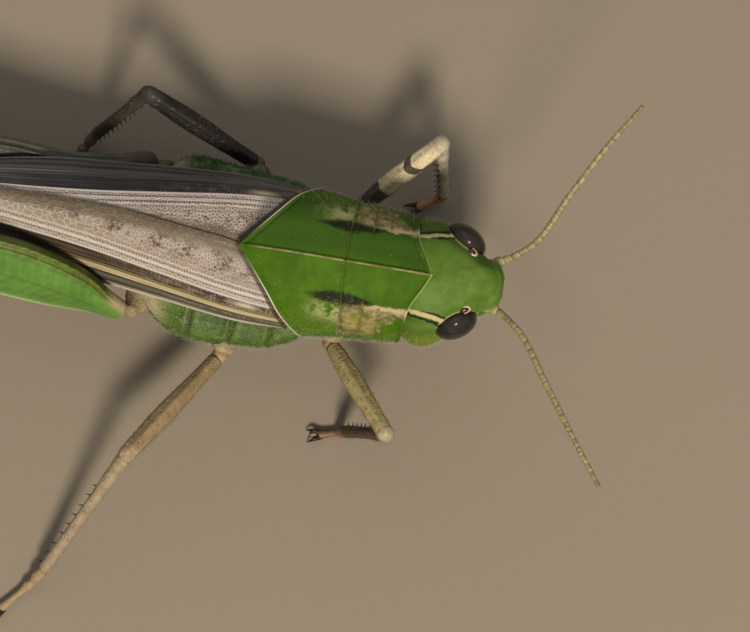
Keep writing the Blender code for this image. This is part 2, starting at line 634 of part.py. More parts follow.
# ---------------------------------------------------------------- the whole animal
def clear_scene():
    for found in list(bpy.data.objects):
        bpy.data.objects.remove(found, do_unlink=True)


def settle():
    """Moves everything so that the middle of the bounding box's underside is the scene's origin."""
    bpy.context.view_layer.update()
    corners = []
    for made in bpy.data.objects:
        if not made.hide_render:
            corners += [made.matrix_world @ v.co for v in made.data.vertices]
    corners = np.array(corners)
    middle = (corners.min(0) + corners.max(0)) / 2
    for made in bpy.data.objects:
        made.data.transform(made.matrix_world.Translation((-middle[0], -middle[1], 0)))


def build():
    clear_scene()
    head = make_head()
    head_mould = mould(head)
    for name in SIDES:
        make_antenna(name, head_mould)
    make_mouthparts()
    boolean(head, mould(make_pronotum()), "DIFFERENCE")
    thorax_mould = mould(make_thorax())
    make_abdomen()
    make_tail()
    for name, side in SIDES.items():
        make_forewing(name, side)
        make_hindwing(name, side)
    for name, points in LEGS.items():
        make_small_leg(name, points, thorax_mould)
    for name in SIDES:
        make_hind_leg(name, thorax_mould)
    settle()


build()
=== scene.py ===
# %% [markdown]
# # A green locust, finished for the camera
# The solids of the animal are already packed.  This lesson lays a fine skin over each of them: every
# skin is a surface worked out with numpy, and every finish is a tree of shader nodes.
# A place on the animal is written (s, y, z) in millimetres: s runs backwards from the front of the
# head, y to the animal's left, z up from the floor.

# %% Load the packed animal
import math

import bpy
import mathutils
import numpy as np
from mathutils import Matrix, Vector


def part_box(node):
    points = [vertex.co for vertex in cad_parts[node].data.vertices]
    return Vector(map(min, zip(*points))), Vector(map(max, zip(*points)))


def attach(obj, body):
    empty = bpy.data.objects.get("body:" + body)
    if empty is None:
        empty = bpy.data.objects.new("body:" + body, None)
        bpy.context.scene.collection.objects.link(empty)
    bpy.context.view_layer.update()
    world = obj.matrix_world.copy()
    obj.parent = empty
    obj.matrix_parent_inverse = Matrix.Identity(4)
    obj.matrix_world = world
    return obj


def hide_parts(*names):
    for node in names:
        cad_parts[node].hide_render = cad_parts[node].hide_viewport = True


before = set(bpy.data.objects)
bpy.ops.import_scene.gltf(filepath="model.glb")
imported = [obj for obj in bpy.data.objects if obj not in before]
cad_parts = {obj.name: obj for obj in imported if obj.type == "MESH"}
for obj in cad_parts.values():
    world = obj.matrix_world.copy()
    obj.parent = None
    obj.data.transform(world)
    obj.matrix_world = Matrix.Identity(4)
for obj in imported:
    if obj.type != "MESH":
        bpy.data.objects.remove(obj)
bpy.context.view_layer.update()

MM = 0.001
SIDES = {"left": 1, "right": -1}
print("solids:", len(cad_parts))

# %% [markdown]
# The pronotum, the saddle behind the head, lies evenly about the animal's middle line, and its front
# edge is a known length behind the head.  Its box therefore tells where (0, 0, 0) of the animal lies
# in the scene, and nothing else has to be fitted.

# %% Where the animal's own places lie in the scene
CREST_FRONT = 3.6
saddle_low, saddle_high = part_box("pronotum")
START = np.array((saddle_high.x / MM + CREST_FRONT, (saddle_low.y + saddle_high.y) / 2 / MM, 0.0))
HEAD_TURN = math.radians(2.0)
NECK = np.array((-5.5, 0.0, 0.0))
print("head front and middle line, mm:", START.round(3))


def at(s, y, z):
    """Point (-s, y, z) in millimetres: the scene's X runs forward, s backward."""
    return np.stack(np.broadcast_arrays(-np.asarray(s, float), y, z), axis=-1)


def turn_head(points):
    """The head looks a little to the left: a turn by HEAD_TURN about the upright line through NECK."""
    c, s = math.cos(HEAD_TURN), math.sin(HEAD_TURN)
    return (points - NECK) @ np.array(((c, s, 0), (-s, c, 0), (0, 0, 1))) + NECK


# %% [markdown]
# Most outlines below are given at a few named stations and run smoothly between them.
# One helper does that with cubic Hermite pieces, whose slopes are the mean slopes at the stations.

# %% Smooth curves
def through(rows, where):
    """Curves through keyed rows (x, a, b, ...) at the places where, one result per column.  Between
    rows P and Q, w apart: (1 + 2t)(1 - t)^2 P + t (1 - t)^2 w P' + t^2 (3 - 2t) Q + t^2 (t - 1) w Q'."""
    table = np.array(rows, float)
    x, values = table[:, 0], table[:, 1:]
    slope = np.gradient(values, x, axis=0)
    where = np.asarray(where, float)
    flat = np.atleast_1d(where).ravel()
    k = np.clip(np.searchsorted(x, flat, side="right") - 1, 0, len(x) - 2)
    span = (x[k + 1] - x[k])[:, None]
    t = np.clip((flat - x[k])[:, None] / span, 0, 1)
    start = (1 + 2 * t) * (1 - t) ** 2 * values[k] + t * (1 - t) ** 2 * span * slope[k]
    end = t * t * (3 - 2 * t) * values[k + 1] + t * t * (t - 1) * span * slope[k + 1]
    return [column.reshape(where.shape) for column in (start + end).T]


def spline(points, count):
    """count points evenly along a smooth path through the given places."""
    points = np.array(points, float)
    length = np.r_[0, np.cumsum(np.linalg.norm(np.diff(points, axis=0), axis=1))]
    return np.stack(through(np.column_stack([length, points]), np.linspace(0, length[-1], count)), 1)


def path_through(places, count):
    """The same through (s, y, z) places, as points of the scene."""
    return at(*spline(places, count).T)


def evenly(count):
    """count numbers evenly from 0 to 1."""
    return np.linspace(0, 1, count)


def full_turn(count):
    """count angles evenly round a circle, without the last, which would be the first again."""
    return np.linspace(0, 2 * math.pi, count, endpoint=False)


def unit(vectors):
    """Each vector divided by its own length."""
    return vectors / np.maximum(np.linalg.norm(vectors, axis=-1, keepdims=True), 1e-12)


def ridge(x, centre, width):
    """A soft hill of height 1: exp(-((x - centre) / width)^2)."""
    return np.exp(-(((x - centre) / width) ** 2))


def step(x, low, high):
    """0 below low, 1 above high, t^2 (3 - 2 t) between (low may be the greater)."""
    t = np.clip((x - low) / (high - low), 0, 1)
    return t * t * (3 - 2 * t)


def line_distance(a, b, line):
    """Distance in the plane (a, b) to the nearest point of a broken line."""
    line = np.array(line, float)
    best = np.full(np.shape(a), 1e9)
    for start, end in zip(line[:-1], line[1:]):
        run = end - start
        t = np.clip(((a - start[0]) * run[0] + (b - start[1]) * run[1]) / (run @ run), 0, 1)
        best = np.minimum(best, np.hypot(a - start[0] - t * run[0], b - start[1] - t * run[1]))
    return best


print("smooth step at 1/4, 1/2 and 3/4 of its way:", step(np.array([0.25, 0.5, 0.75]), 0, 1))

# %% [markdown]
# A form is a closed surface kept as plain arrays until it becomes a mesh: points, four-sided and
# three-sided faces, a flat chart (the UV place of every face corner) and marks, numbers at the points
# that the finishes read.  Closed tubes and thin sheets are all that a locust needs.

# %% Forms: tubes, sheets and how they join
def grid_normals(grid, inside, wrap=False):
    """Unit normals of a grid of points: the cross product of its two directions, turned away from
    the point inside."""
    along = np.gradient(grid, axis=0)
    across = np.roll(grid, -1, 1) - np.roll(grid, 1, 1) if wrap else np.gradient(grid, axis=1)
    normal = unit(np.cross(along, across))
    return normal * np.sign(np.sum(normal * (grid - inside)))


def form(points, quads, tris, chart4, chart3, marks):
    """One form; if its faces point inward, which a negative volume shows, all are turned round."""
    corners = points[np.concatenate([quads[:, [0, 1, 2]], quads[:, [0, 2, 3]], tris])]
    if np.sum(corners[:, 0] * np.cross(corners[:, 1], corners[:, 2])) < 0:
        quads, tris = quads[:, ::-1], tris[:, ::-1]
        chart4, chart3 = chart4[:, ::-1], chart3[:, ::-1]
    return dict(points=points, quads=quads, tris=tris, chart4=chart4, chart3=chart3, marks=marks)


def over_grid(mark, rows, cols):
    """A mark, of one number or three, given to every point of a grid."""
    return np.broadcast_to(mark, (rows, cols) + np.shape(mark)[2:])


def tube(rings, **marks):
    """Closed tube through rings (rows x columns x 3); each end closes on its middle point."""
    rows, cols = rings.shape[:2]
    v, u = np.mgrid[0:rows, 0:cols + 1]
    chart = np.stack([v / (rows - 1), u / cols], -1)
    r, c = (i.ravel() for i in np.mgrid[0:rows - 1, 0:cols])
    n = (c + 1) % cols
    quads = np.stack([r * cols + c, r * cols + n, (r + 1) * cols + n, (r + 1) * cols + c], 1)
    chart4 = np.stack([chart[r, c], chart[r, c + 1], chart[r + 1, c + 1], chart[r + 1, c]], 1)
    k = np.arange(cols)
    n = (k + 1) % cols
    last = (rows - 1) * cols
    tris = np.concatenate([np.stack([0 * k + rows * cols, n, k], 1),
                           np.stack([0 * k + rows * cols + 1, last + k, last + n], 1)])
    chart3 = np.concatenate([np.stack([chart[0, k], chart[0, k + 1], chart[0, k]], 1),
                             np.stack([chart[-1, k], chart[-1, k], chart[-1, k + 1]], 1)])
    points = np.concatenate([rings.reshape(-1, 3), rings[:1].mean(1), rings[-1:].mean(1)])
    for name, value in marks.items():
        value = over_grid(value, rows, cols)
        flat = value.reshape((rows * cols,) + value.shape[2:])
        marks[name] = np.concatenate([flat, value[:1].mean(1), value[-1:].mean(1)])
    return form(points, quads, tris, chart4, chart3, marks)


def sheet(outer, inner, **marks):
    """Thin closed sheet between two grids of the same size, with a wall round its rim."""
    rows, cols = outer.shape[:2]
    v, u = np.mgrid[0:rows, 0:cols]
    flat = np.stack([v / (rows - 1), u / (cols - 1)], -1).reshape(-1, 2)
    r, c = (i.ravel() for i in np.mgrid[0:rows - 1, 0:cols - 1])
    top = np.stack([r * cols + c, r * cols + c + 1, (r + 1) * cols + c + 1, (r + 1) * cols + c], 1)
    under = rows * cols
    numbers = np.arange(under).reshape(rows, cols)
    rim = np.r_[numbers[0], numbers[1:, -1], numbers[-1, -2::-1], numbers[-2:0:-1, 0]]
    after = np.roll(rim, -1)
    quads = np.concatenate([top, top[:, ::-1] + under,
                            np.stack([after, rim, rim + under, after + under], 1)])
    chart4 = np.concatenate([flat[top], flat[top[:, ::-1]],
                             np.stack([flat[after], flat[rim], flat[rim], flat[after]], 1)])
    points = np.concatenate([outer.reshape(-1, 3), inner.reshape(-1, 3)])
    for name, value in marks.items():
        value = over_grid(value, rows, cols).reshape((under,) + np.shape(value)[2:])
        marks[name] = np.concatenate([value, value])
    return form(points, quads, np.empty((0, 3), int), chart4, np.empty((0, 3, 2)), marks)


def joined(forms):
    """Several forms as one; a mark that one of them lacks is 0 there."""
    names = sorted({name for f in forms for name in f["marks"]})
    shift = np.cumsum([0] + [len(f["points"]) for f in forms[:-1]])
    marks = {}
    for name in names:
        shape = next(f["marks"][name].shape[1:] for f in forms if name in f["marks"])
        marks[name] = np.concatenate([f["marks"].get(name, np.zeros((len(f["points"]),) + shape))
                                      for f in forms])
    parts = {key: np.concatenate([f[key] for f in forms]) for key in ("points", "chart4", "chart3")}
    for key in ("quads", "tris"):
        parts[key] = np.concatenate([f[key] + n for f, n in zip(forms, shift)])
    return dict(parts, marks=marks)


# %% [markdown]
# A finished piece rides on the animal's one body and hides the solids it stands for.  Its object
# stays at the origin, unturned, with its place in its mesh.

# %% From a form to a finished piece
def piece(name, made, finish, slot, *nodes, chart_name="chart"):
    """Mesh object from a form, in metres, smooth, with its chart and marks."""
    mesh = bpy.data.meshes.new(name)
    corners = np.concatenate([made["quads"].ravel(), made["tris"].ravel()])
    starts = np.r_[np.arange(len(made["quads"])) * 4,
                   made["quads"].size + np.arange(len(made["tris"])) * 3]
    mesh.vertices.add(len(made["points"]))
    mesh.loops.add(len(corners))
    mesh.polygons.add(len(starts))
    mesh.vertices.foreach_set("co", ((made["points"] + START) * MM).astype(np.float32).ravel())
    mesh.loops.foreach_set("vertex_index", corners.astype(np.int32))
    mesh.polygons.foreach_set("loop_start", starts.astype(np.int32))
    mesh.update(calc_edges=True)
    chart = np.concatenate([made["chart4"].reshape(-1, 2), made["chart3"].reshape(-1, 2)])
    layer = mesh.uv_layers.new(name=chart_name)
    layer.data.foreach_set("uv", chart.astype(np.float32).ravel())
    for mark, value in made["marks"].items():
        kind, key = ("FLOAT", "value") if value.ndim == 1 else ("FLOAT_VECTOR", "vector")
        attribute = mesh.attributes.new(mark, kind, "POINT")
        attribute.data.foreach_set(key, value.astype(np.float32).ravel())
    mesh.shade_smooth()
    mesh.materials.append(finish)
    thing = bpy.data.objects.new(name, mesh)
    bpy.context.scene.collection.objects.link(thing)
    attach(thing, "root")
    if nodes:
        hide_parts(*nodes)
    print(f"{name}: {2 * len(made['quads']) + len(made['tris'])} triangles, size in mm",
          np.ptp(made["points"], axis=0).round(2))


# %% [markdown]
# ## The head
# The head capsule is a stack of level outlines.  Each outline is one plan curve, blunt in front,
# drawn in beside the eyes and widest at the cheeks, stretched to that level's length and width.

# %% Shape of the head
HEAD_LEVELS = [  # z, front s, back s, half width
    (4.1, 1.30, 4.9, 2.10), (4.5, 0.98, 5.5, 2.65), (5.2, 0.70, 6.0, 3.00), (6.0, 0.45, 6.3, 3.12),
    (7.0, 0.22, 6.4, 3.05), (8.0, 0.07, 6.4, 2.90), (9.0, 0.00, 6.4, 2.70), (9.8, 0.05, 6.3, 2.40),
    (10.4, 0.30, 6.2, 2.05), (10.8, 0.80, 6.0, 1.65), (11.05, 1.60, 5.8, 1.10)]
HEAD_PLAN = [  # share of the way back, share of the half width
    (0.00, 0.00), (0.02, 0.26), (0.07, 0.40), (0.17, 0.49), (0.30, 0.72), (0.46, 0.97),
    (0.64, 1.00), (0.76, 0.84), (0.92, 0.70), (1.00, 0.00)]
EYE_CENTRE = (2.12, 2.06, 8.9)
EYE_RADII = (1.10, 0.74, 1.60)
EYE_YAW = math.radians(31)
SOCKET = (0.42, 1.16, 8.7)  # where a feeler leaves the face
CROWN_RISE = 0.20


def head_outline(level, turn):
    """(s, y) of the outline at a level; turn runs from 0 at the front round to 2 pi."""
    keys = [(math.acos(1 - 2 * share), width) for share, width in HEAD_PLAN]
    front, back, half = through(HEAD_LEVELS, level)
    around = np.minimum(turn, 2 * math.pi - turn)
    width = np.maximum(through(keys, around)[0], 0) * np.where(turn < math.pi, 1, -1)
    return front + (back - front) * (1 - np.cos(turn)) / 2, half * width


def eye_measure(s, y, z, side):
    """Egg measure: 1 on the eye's surface, less inside, from the eye's own turned axes."""
    along = (s - EYE_CENTRE[0]) * math.cos(EYE_YAW) + (side * y - EYE_CENTRE[1]) * math.sin(EYE_YAW)
    out = (side * y - EYE_CENTRE[1]) * math.cos(EYE_YAW) - (s - EYE_CENTRE[0]) * math.sin(EYE_YAW)
    up = z - EYE_CENTRE[2]
    return np.sqrt(sum((way / radius) ** 2 for way, radius in zip((along, out, up), EYE_RADII)))


def head_form():
    """Level outlines from chin to crown, then a low dome; grooves and rims are pushed along the
    normals: sockets for eyes and feelers, two ridges down the face, the cheek groove, the clypeus."""
    rise = np.sin(np.linspace(0, math.pi / 2, 150))[:, None]
    turn = full_turn(192)[None, :]
    level = HEAD_LEVELS[0][0] + (HEAD_LEVELS[-1][0] - HEAD_LEVELS[0][0]) * rise
    level, turn = np.broadcast_arrays(level, turn)
    s, y = head_outline(level, turn)
    shrink = np.cos(np.linspace(0, math.pi / 2, 14)[1:-1])[:, None]
    middle = s[-1].mean()
    s = np.vstack([s, middle + (s[-1] - middle) * shrink])
    y = np.vstack([y, y[-1] * shrink])
    z = np.vstack([level, level[-1] + CROWN_RISE * (1 - shrink ** 2)])
    normal = grid_normals(at(s, y, z), at(3.0, 0.0, 7.6), wrap=True)
    push, rims = np.zeros_like(s), np.zeros_like(s)
    for side in SIDES.values():
        egg = eye_measure(s, y, z, side)
        push += 0.07 * ridge(egg, 1.07, 0.06) - 0.25 * step(egg, 1.02, 0.8)
        rims += ridge(egg, 1.08, 0.05)
        socket = np.hypot((s - SOCKET[0]) * 0.5, np.hypot(side * y - SOCKET[1], (z - SOCKET[2]) * 0.9))
        push += (0.07 * ridge(socket, 0.42, 0.09) - 0.12 * step(socket, 0.34, 0.2)) * (s < 1.5)
        cheek = line_distance(s, z, [(2.1, 7.35), (2.15, 6.2), (1.9, 5.2), (1.95, 4.3)])
        push -= 0.06 * ridge(cheek, 0, 0.07) * (side * y > 1.2)
    face = step(s, 1.3, 0.9) * step(z, 4.4, 5.2) * step(z, 9.9, 9.1)
    push += face * (0.07 * ridge(np.abs(y), 0.48, 0.12) - 0.05 * ridge(y, 0, 0.25))
    push += face * 0.05 * ridge(np.abs(y), 1.45 + 0.1 * (8 - z), 0.1) * step(z, 8.0, 7.2)
    push -= 0.07 * ridge(z, 5.25, 0.06) * step(np.abs(y), 1.6, 1.4) * (s < 2)
    covered = step(s, 3.5 + 0.45 * np.abs(y), 4.6 + 0.45 * np.abs(y))
    push -= 0.34 * covered * step(z, 5.0, 7.0)
    points = turn_head(at(s, y, z) + normal * push[..., None])
    return tube(points, at_head=np.stack([s, y, z], -1), eye_rim=rims)


print("head, mm long and wide:", HEAD_LEVELS[6][2], 2 * HEAD_LEVELS[3][3])

# %% [markdown]
# The eyes are smooth eggs, far larger than the simple lateral ocelli beside them.  An ocellus is a
# red-brown bead in a pale ring; a third one sits low on the face between the feelers.

# %% Shapes of the eyes and the ocelli
OCELLI = [((1.86, 1.45, 10.29), (0.05, 0.52, 0.85)), ((1.86, -1.46, 10.29), (0.05, -0.52, 0.85)),
          ((0.10, 0.0, 8.3), (1.0, 0.0, 0.1))]


def eye_form(side):
    """Egg of EYE_RADII turned by EYE_YAW, slightly fuller than the solid's facets."""
    height = np.linspace(0, math.pi, 66)[1:-1, None]
    around = full_turn(96)
    along = EYE_RADII[0] * np.sin(height) * np.cos(around)
    out = EYE_RADII[1] * np.sin(height) * np.sin(around)
    s = EYE_CENTRE[0] + along * math.cos(EYE_YAW) - out * math.sin(EYE_YAW)
    y = EYE_CENTRE[1] + along * math.sin(EYE_YAW) + out * math.cos(EYE_YAW)
    z = EYE_CENTRE[2] - EYE_RADII[2] * np.cos(height) + 0 * along
    own = np.stack([along, out, z - EYE_CENTRE[2]], -1)
    return tube(turn_head(at(s, side * y, z)), at_eye=own)


def ocellus_form(place, facing):
    """A bead whose profile turns about its facing line: a flat ring outside, a dome within."""
    facing = unit(np.array(facing))
    lengthwise = unit(np.array((1.0, -0.55 * np.sign(place[1]), 0.0)))
    first = unit(lengthwise - facing * (lengthwise @ facing))
    second = np.cross(facing, first)
    profile = np.array([(0.34, -0.10), (0.33, 0.03), (0.29, 0.075), (0.25, 0.06), (0.225, 0.03),
                        (0.20, 0.06), (0.15, 0.10), (0.09, 0.125), (0.03, 0.135)])
    turn = full_turn(28)
    across = first * np.cos(turn)[:, None] * 1.12 + second * np.sin(turn)[:, None] * 0.66
    rings = at(*place) + profile[:, 0][:, None, None] * across + profile[:, 1][:, None, None] * facing
    return tube(turn_head(rings), bead=(profile[:, 0] < 0.24).astype(float)[:, None])


print("eyes, mm long, wide and high:", [2 * radius for radius in EYE_RADII])

# %% [markdown]
# A feeler is a chain of short joints.  Its radius follows one saw-like rule, slightly wider at the
# far end of each joint, on a smooth path; the two joints at the root are thicker.

# %% Shape of a feeler
ANTENNAE = {
    "left": [(0.31, 1.28, 8.7), (-1.0, 2.08, 9.4), (-2.7, 4.93, 10.6), (-4.1, 7.3, 11.3),
             (-5.6, 9.5, 11.7)],
    "right": [(0.37, -1.09, 8.7), (-0.7, -1.82, 9.4), (-2.65, -4.68, 10.6), (-4.4, -7.4, 11.3),
              (-5.7, -9.3, 11.7)]}
ANTENNA_JOINTS = 25
ANTENNA_RADIUS = 0.165


def ring_path(path, deep, wide, side, around, lean=0.0, shape=1.0):
    """Rings round a path: wide runs in the direction side, deep square to it, lean turns both about
    the path, and shape is a factor for each direction round it, which makes keels and flats."""
    along = unit(np.gradient(path, axis=0))
    across = np.broadcast_to(np.asarray(side, float), path.shape)
    across = unit(across - along * np.sum(across * along, axis=1, keepdims=True))
    upward = np.cross(along, across)
    angle = np.broadcast_to(np.asarray(lean, float), len(path))[:, None]
    across, upward = (across * np.cos(angle) + upward * np.sin(angle),
                      upward * np.cos(angle) - across * np.sin(angle))
    turn = full_turn(around)
    wide = np.broadcast_to(wide, len(path))[:, None] * np.cos(turn) * shape
    deep = np.broadcast_to(deep, len(path))[:, None] * np.sin(turn) * shape
    return path[:, None] + across[:, None] * wide[..., None] + upward[:, None] * deep[..., None]


def antenna_form(name):
    """Share t along the feeler: radius = R (1 - 0.35 t^3) (1 + 0.1 saw), saw rising in each joint."""
    root = (1.0, SIDES[name] * 0.95, 8.6)
    path = turn_head(path_through([root] + ANTENNAE[name], 300))
    t = evenly(len(path))
    saw = (t * ANTENNA_JOINTS) % 1
    radius = ANTENNA_RADIUS * (1 - 0.35 * t ** 3) * (0.93 + 0.10 * saw - 0.12 * ridge(saw, 0, 0.07))
    radius *= 1 + 0.50 * step(t, 0.085, 0.070) * (1 - 0.3 * ridge(t, 0.078, 0.004))
    radius *= 1 + 0.18 * step(t, 0.115, 0.10)
    radius[-1] *= 0.5
    rings = ring_path(path, radius, radius, (0, 0, 1), 14)
    return tube(rings, joint=saw[:, None], along=t[:, None])


print("joints of a feeler:", ANTENNA_JOINTS)

# %% [markdown]
# Under the face hang the upper lip, two jaws, two maxillae with their palps and the lower lip.  They
# are rounded wedges and short feelers, fine enough as one piece.

# %% Shapes of the mouthparts
FACE_BOTTOM = 4.1


def wedge(levels, middle=0.0, power=0.75):
    """Rounded wedge through levels (z, front s, back s, half width): superellipse outlines."""
    z = np.linspace(levels[0][0], levels[-1][0], 20)[:, None]
    rows = sorted(levels)
    front, back, half = through(rows, z)
    turn = full_turn(40)
    c, s = np.cos(turn), np.sin(turn)
    drawn = np.sqrt(np.clip(1 - step(z, rows[0][0] + 0.35, rows[0][0]) * 0.75, 0, 1))
    along = (front + back) / 2 - (back - front) / 2 * np.sign(c) * np.abs(c) ** power * drawn
    across = middle + half * np.sign(s) * np.abs(s) ** power * drawn
    return tube(turn_head(at(along, across, z)))


def mouth_form():
    """Wedges for the lips, jaws and maxillae; each palp is a tube with four soft joints,
    radius = 0.2 (0.85 + 0.15 cos(8 pi t))."""
    top = FACE_BOTTOM + 0.1
    forms = [wedge([(top, 1.15, 2.15, 1.35), (3.4, 1.15, 2.2, 1.4), (2.5, 1.6, 2.2, 1.05)]),
             wedge([(top, 3.8, 4.75, 1.4), (3.3, 3.7, 4.6, 1.45), (2.65, 3.6, 4.3, 1.0)])]
    for side in SIDES.values():
        forms.append(wedge([(top, 1.95, 3.1, 1.02), (3.2, 1.95, 3.05, 0.95), (2.6, 2.15, 2.9, 0.72)],
                           side * 1.0))
        forms.append(wedge([(top, 2.9, 3.95, 0.95), (3.2, 2.9, 3.85, 0.90), (2.65, 2.95, 3.7, 0.70)],
                           side * 0.97))
        for palp in ([(3.4, 1.4, 3.5), (3.1, 2.15, 2.95), (2.5, 2.25, 2.2), (2.1, 2.1, 1.6)],
                     [(4.2, 0.8, 3.2), (4.0, 1.3, 2.75), (3.7, 1.5, 2.3), (3.5, 1.4, 1.9)]):
            path = turn_head(path_through(np.array(palp) * (1, side, 1), 40))
            t = evenly(40)
            radius = 0.2 * (0.85 + 0.15 * np.cos(t * 8 * math.pi)) * (1 - 0.6 * step(t, 0.93, 1))
            forms.append(tube(ring_path(path, radius, radius, (1, 0, 0), 16)))
    return joined(forms)


print("mouthparts hang", FACE_BOTTOM, "mm over the floor")

# %% [markdown]
# ## The pronotum
# The saddle is one section, rounded at the crest and steep at the sides, swept backward between a
# front edge and a pointed rear edge.  The keel along its crest, the three grooves across it and the
# rolled rims are real relief; the pits and hairs come later.

# %% Shape of the pronotum
PRONOTUM_CREST = [(3.6, 11.4), (6.0, 11.5), (8.0, 11.55), (10.5, 11.7), (13.2, 11.3)]
PRONOTUM_SECTION = [  # share across, y, drop, front edge s, rear edge s
    (0.00, 0.00, 0.00, 3.60, 13.20), (0.14, 0.80, 0.28, 3.95, 12.50), (0.30, 1.85, 0.75, 4.45, 11.55),
    (0.44, 2.75, 1.75, 4.60, 10.75), (0.56, 3.30, 3.05, 4.65, 10.00), (0.76, 3.42, 4.70, 4.75, 9.45),
    (1.00, 3.05, 6.35, 5.10, 8.50)]
PRONOTUM_SPREAD = [  # s, factor on the width there
    (3.6, 0.868), (4.8, 0.918), (6.3, 0.965), (8.0, 1.0), (10.0, 1.08), (13.2, 1.10)]
PRONOTUM_THICK = 0.22
SULCI = [  # grooves down each side, in s over the share across, and their depth
    ([(0.0, 7.95), (0.3, 7.85), (0.6, 7.6), (1.0, 7.5)], 0.10, 0.0),
    ([(0.0, 6.7), (0.3, 6.75), (0.6, 6.75), (1.0, 6.5)], 0.07, 0.28),
    ([(0.0, 5.9), (0.3, 5.95), (0.6, 5.9), (1.0, 5.7)], 0.05, 0.34)]


def pronotum_form():
    """Section swept from the front to the rear edge, with relief pushed along the normals."""
    across = np.linspace(-1, 1, 181)
    y, drop, front, rear = through(PRONOTUM_SECTION, np.abs(across))
    share = evenly(210)[:, None]
    s = front + (rear - front) * share
    crest = through(PRONOTUM_CREST, s)[0]
    spread = through(PRONOTUM_SPREAD, s)[0]
    grid = at(s, np.sign(across) * y * spread, crest - drop)
    normal = grid_normals(grid, at(8.0, 0.0, 7.0))
    out = np.abs(across)[None, :] + 0 * s
    edge = np.minimum(s - front, rear - s)
    side_edge = (1 - out) * 7.5
    groove = np.zeros_like(s)
    push = 0.13 * ridge(grid[..., 1], 0, 0.085) * step(edge, 0.0, 0.3)
    for line, depth, start in SULCI:
        middle = through(line, out)[0]
        here = ridge(s, middle, 0.07) * step(out, start - 0.06, start + 0.02)
        push -= depth * here
        groove = np.maximum(groove, here)
    push -= 0.035 * step(out, 0.30, 0.38) * ridge(s, 6.3, 0.9) * step(out, 0.7, 0.5)
    push += 0.05 * ridge(np.minimum(edge, side_edge), 0.06, 0.07) - 0.05 * ridge(edge, 0.26, 0.1)
    outer = grid + normal * push[..., None]
    thick = PRONOTUM_THICK * step(np.minimum(edge, side_edge), -0.3, 0.35)[..., None]
    return sheet(outer, grid - normal * thick, at_saddle=np.stack([s, grid[..., 1], out], -1),
                 groove=groove, rim=ridge(rear - s, 0.05, 0.11), front_rim=ridge(s - front, 0.02, 0.07))


print("saddle, mm long:", PRONOTUM_SECTION[0][4] - PRONOTUM_SECTION[0][3])

# %% [markdown]
# ## The chest and the abdomen
# The chest is one lofted form: broad below, with a shelf on which the wings lie and a narrow back.
# The seams between its side plates are grooves along broken lines in the side view.

# %% Shape of the chest
THORAX_SHIFT = [(6.55, 0.1), (15.0, 0.1), (16.6, 0.3), (18.6, 0.3)]
THORAX_STATIONS = [  # s, half width, inner half width, top, shelf, bottom
    (6.55, 2.10, 1.90, 8.6, 6.4, 4.3), (7.4, 2.40, 2.10, 9.2, 6.2, 3.4),
    (8.9, 2.60, 2.20, 9.2, 6.0, 2.8), (9.6, 3.55, 2.30, 9.0, 5.9, 2.5),
    (10.6, 4.10, 2.35, 8.8, 5.8, 2.4), (13.0, 4.50, 2.20, 8.6, 5.6, 2.3),
    (15.8, 4.60, 1.85, 8.2, 5.5, 2.2), (16.6, 4.48, 1.70, 8.0, 5.4, 2.2),
    (17.4, 3.90, 1.50, 7.8, 5.3, 2.1), (18.6, 2.60, 1.20, 7.2, 5.2, 2.1)]
SIDE_SEAMS = [[(11.0, 6.4), (11.7, 3.2)], [(12.9, 6.2), (13.5, 4.4), (14.3, 3.1)],
              [(15.2, 6.0), (15.5, 4.6), (16.6, 3.2)], [(9.5, 5.9), (9.9, 4.4), (9.7, 3.1)]]


def chest_section(half, inner, top, shelf, bottom, count):
    """Half section from the belly up, smooth through ten named corners, then its mirror image."""
    y = [0 * half, 0.55 * half, 0.88 * half, half, 0.97 * half, 0.72 * half + 0.1 * inner, inner,
         inner * 0.86, inner * 0.5, 0 * half]
    z = [bottom, bottom + 0.12, bottom + 0.8, bottom + 1.9, shelf - 0.35, shelf, shelf + 0.5, top - 1.0,
         top - 0.25, top]
    key = np.linspace(0, len(y) - 1, count)
    low = np.minimum(key.astype(int), len(y) - 2)
    t = key - low
    t = t * t * (3 - 2 * t) * 0.35 + t * 0.65
    y, z = np.array(y), np.array(z)
    y = y[low].T * (1 - t) + y[low + 1].T * t
    z = z[low].T * (1 - t) + z[low + 1].T * t
    return np.hstack([y, -y[:, -2:0:-1]]), np.hstack([z, z[:, -2:0:-1]])


def thorax_form():
    """Sections along s, each softened by the mean of seven neighbours, moved sideways by
    THORAX_SHIFT; the seams are soft grooves, -0.10 exp(-(d / 0.09)^2) at a distance d."""
    s = np.linspace(THORAX_STATIONS[0][0], THORAX_STATIONS[-1][0], 200)
    y, z = (sum(np.roll(way, k, 1) for k in range(-3, 4)) / 7
            for way in chest_section(*through(THORAX_STATIONS, s), 100))
    s = s[:, None] + 0 * y
    grid = at(s, y + through(THORAX_SHIFT, s[:, 0])[0][:, None], z)
    normal = grid_normals(grid, at(12.0, 0.0, 5.0), wrap=True)
    seam = np.full_like(s, 9.0)
    for line in SIDE_SEAMS:
        seam = np.minimum(seam, line_distance(s, z, line))
    low_side = step(z, 6.6, 6.0)
    push = low_side * (-0.10 * ridge(seam, 0, 0.09) + 0.05 * ridge(seam, 0.26, 0.12))
    push -= 0.05 * ridge(z, 3.15, 0.1) * step(s, 8, 9) + 0.05 * ridge(s, 13.4, 0.1) * step(z, 3, 2.6)
    return tube(grid + normal * push[..., None], at_chest=np.stack([s, y, z], -1),
                seam=ridge(seam, 0, 0.12) * low_side)


print("chest, mm long:", round(THORAX_STATIONS[-1][0] - THORAX_STATIONS[0][0], 2))

# %% [markdown]
# The abdomen is eight rings, each of which slips under the one before it; the size of the egg-shaped
# section falls at the start of each ring and rises towards its rear rim.

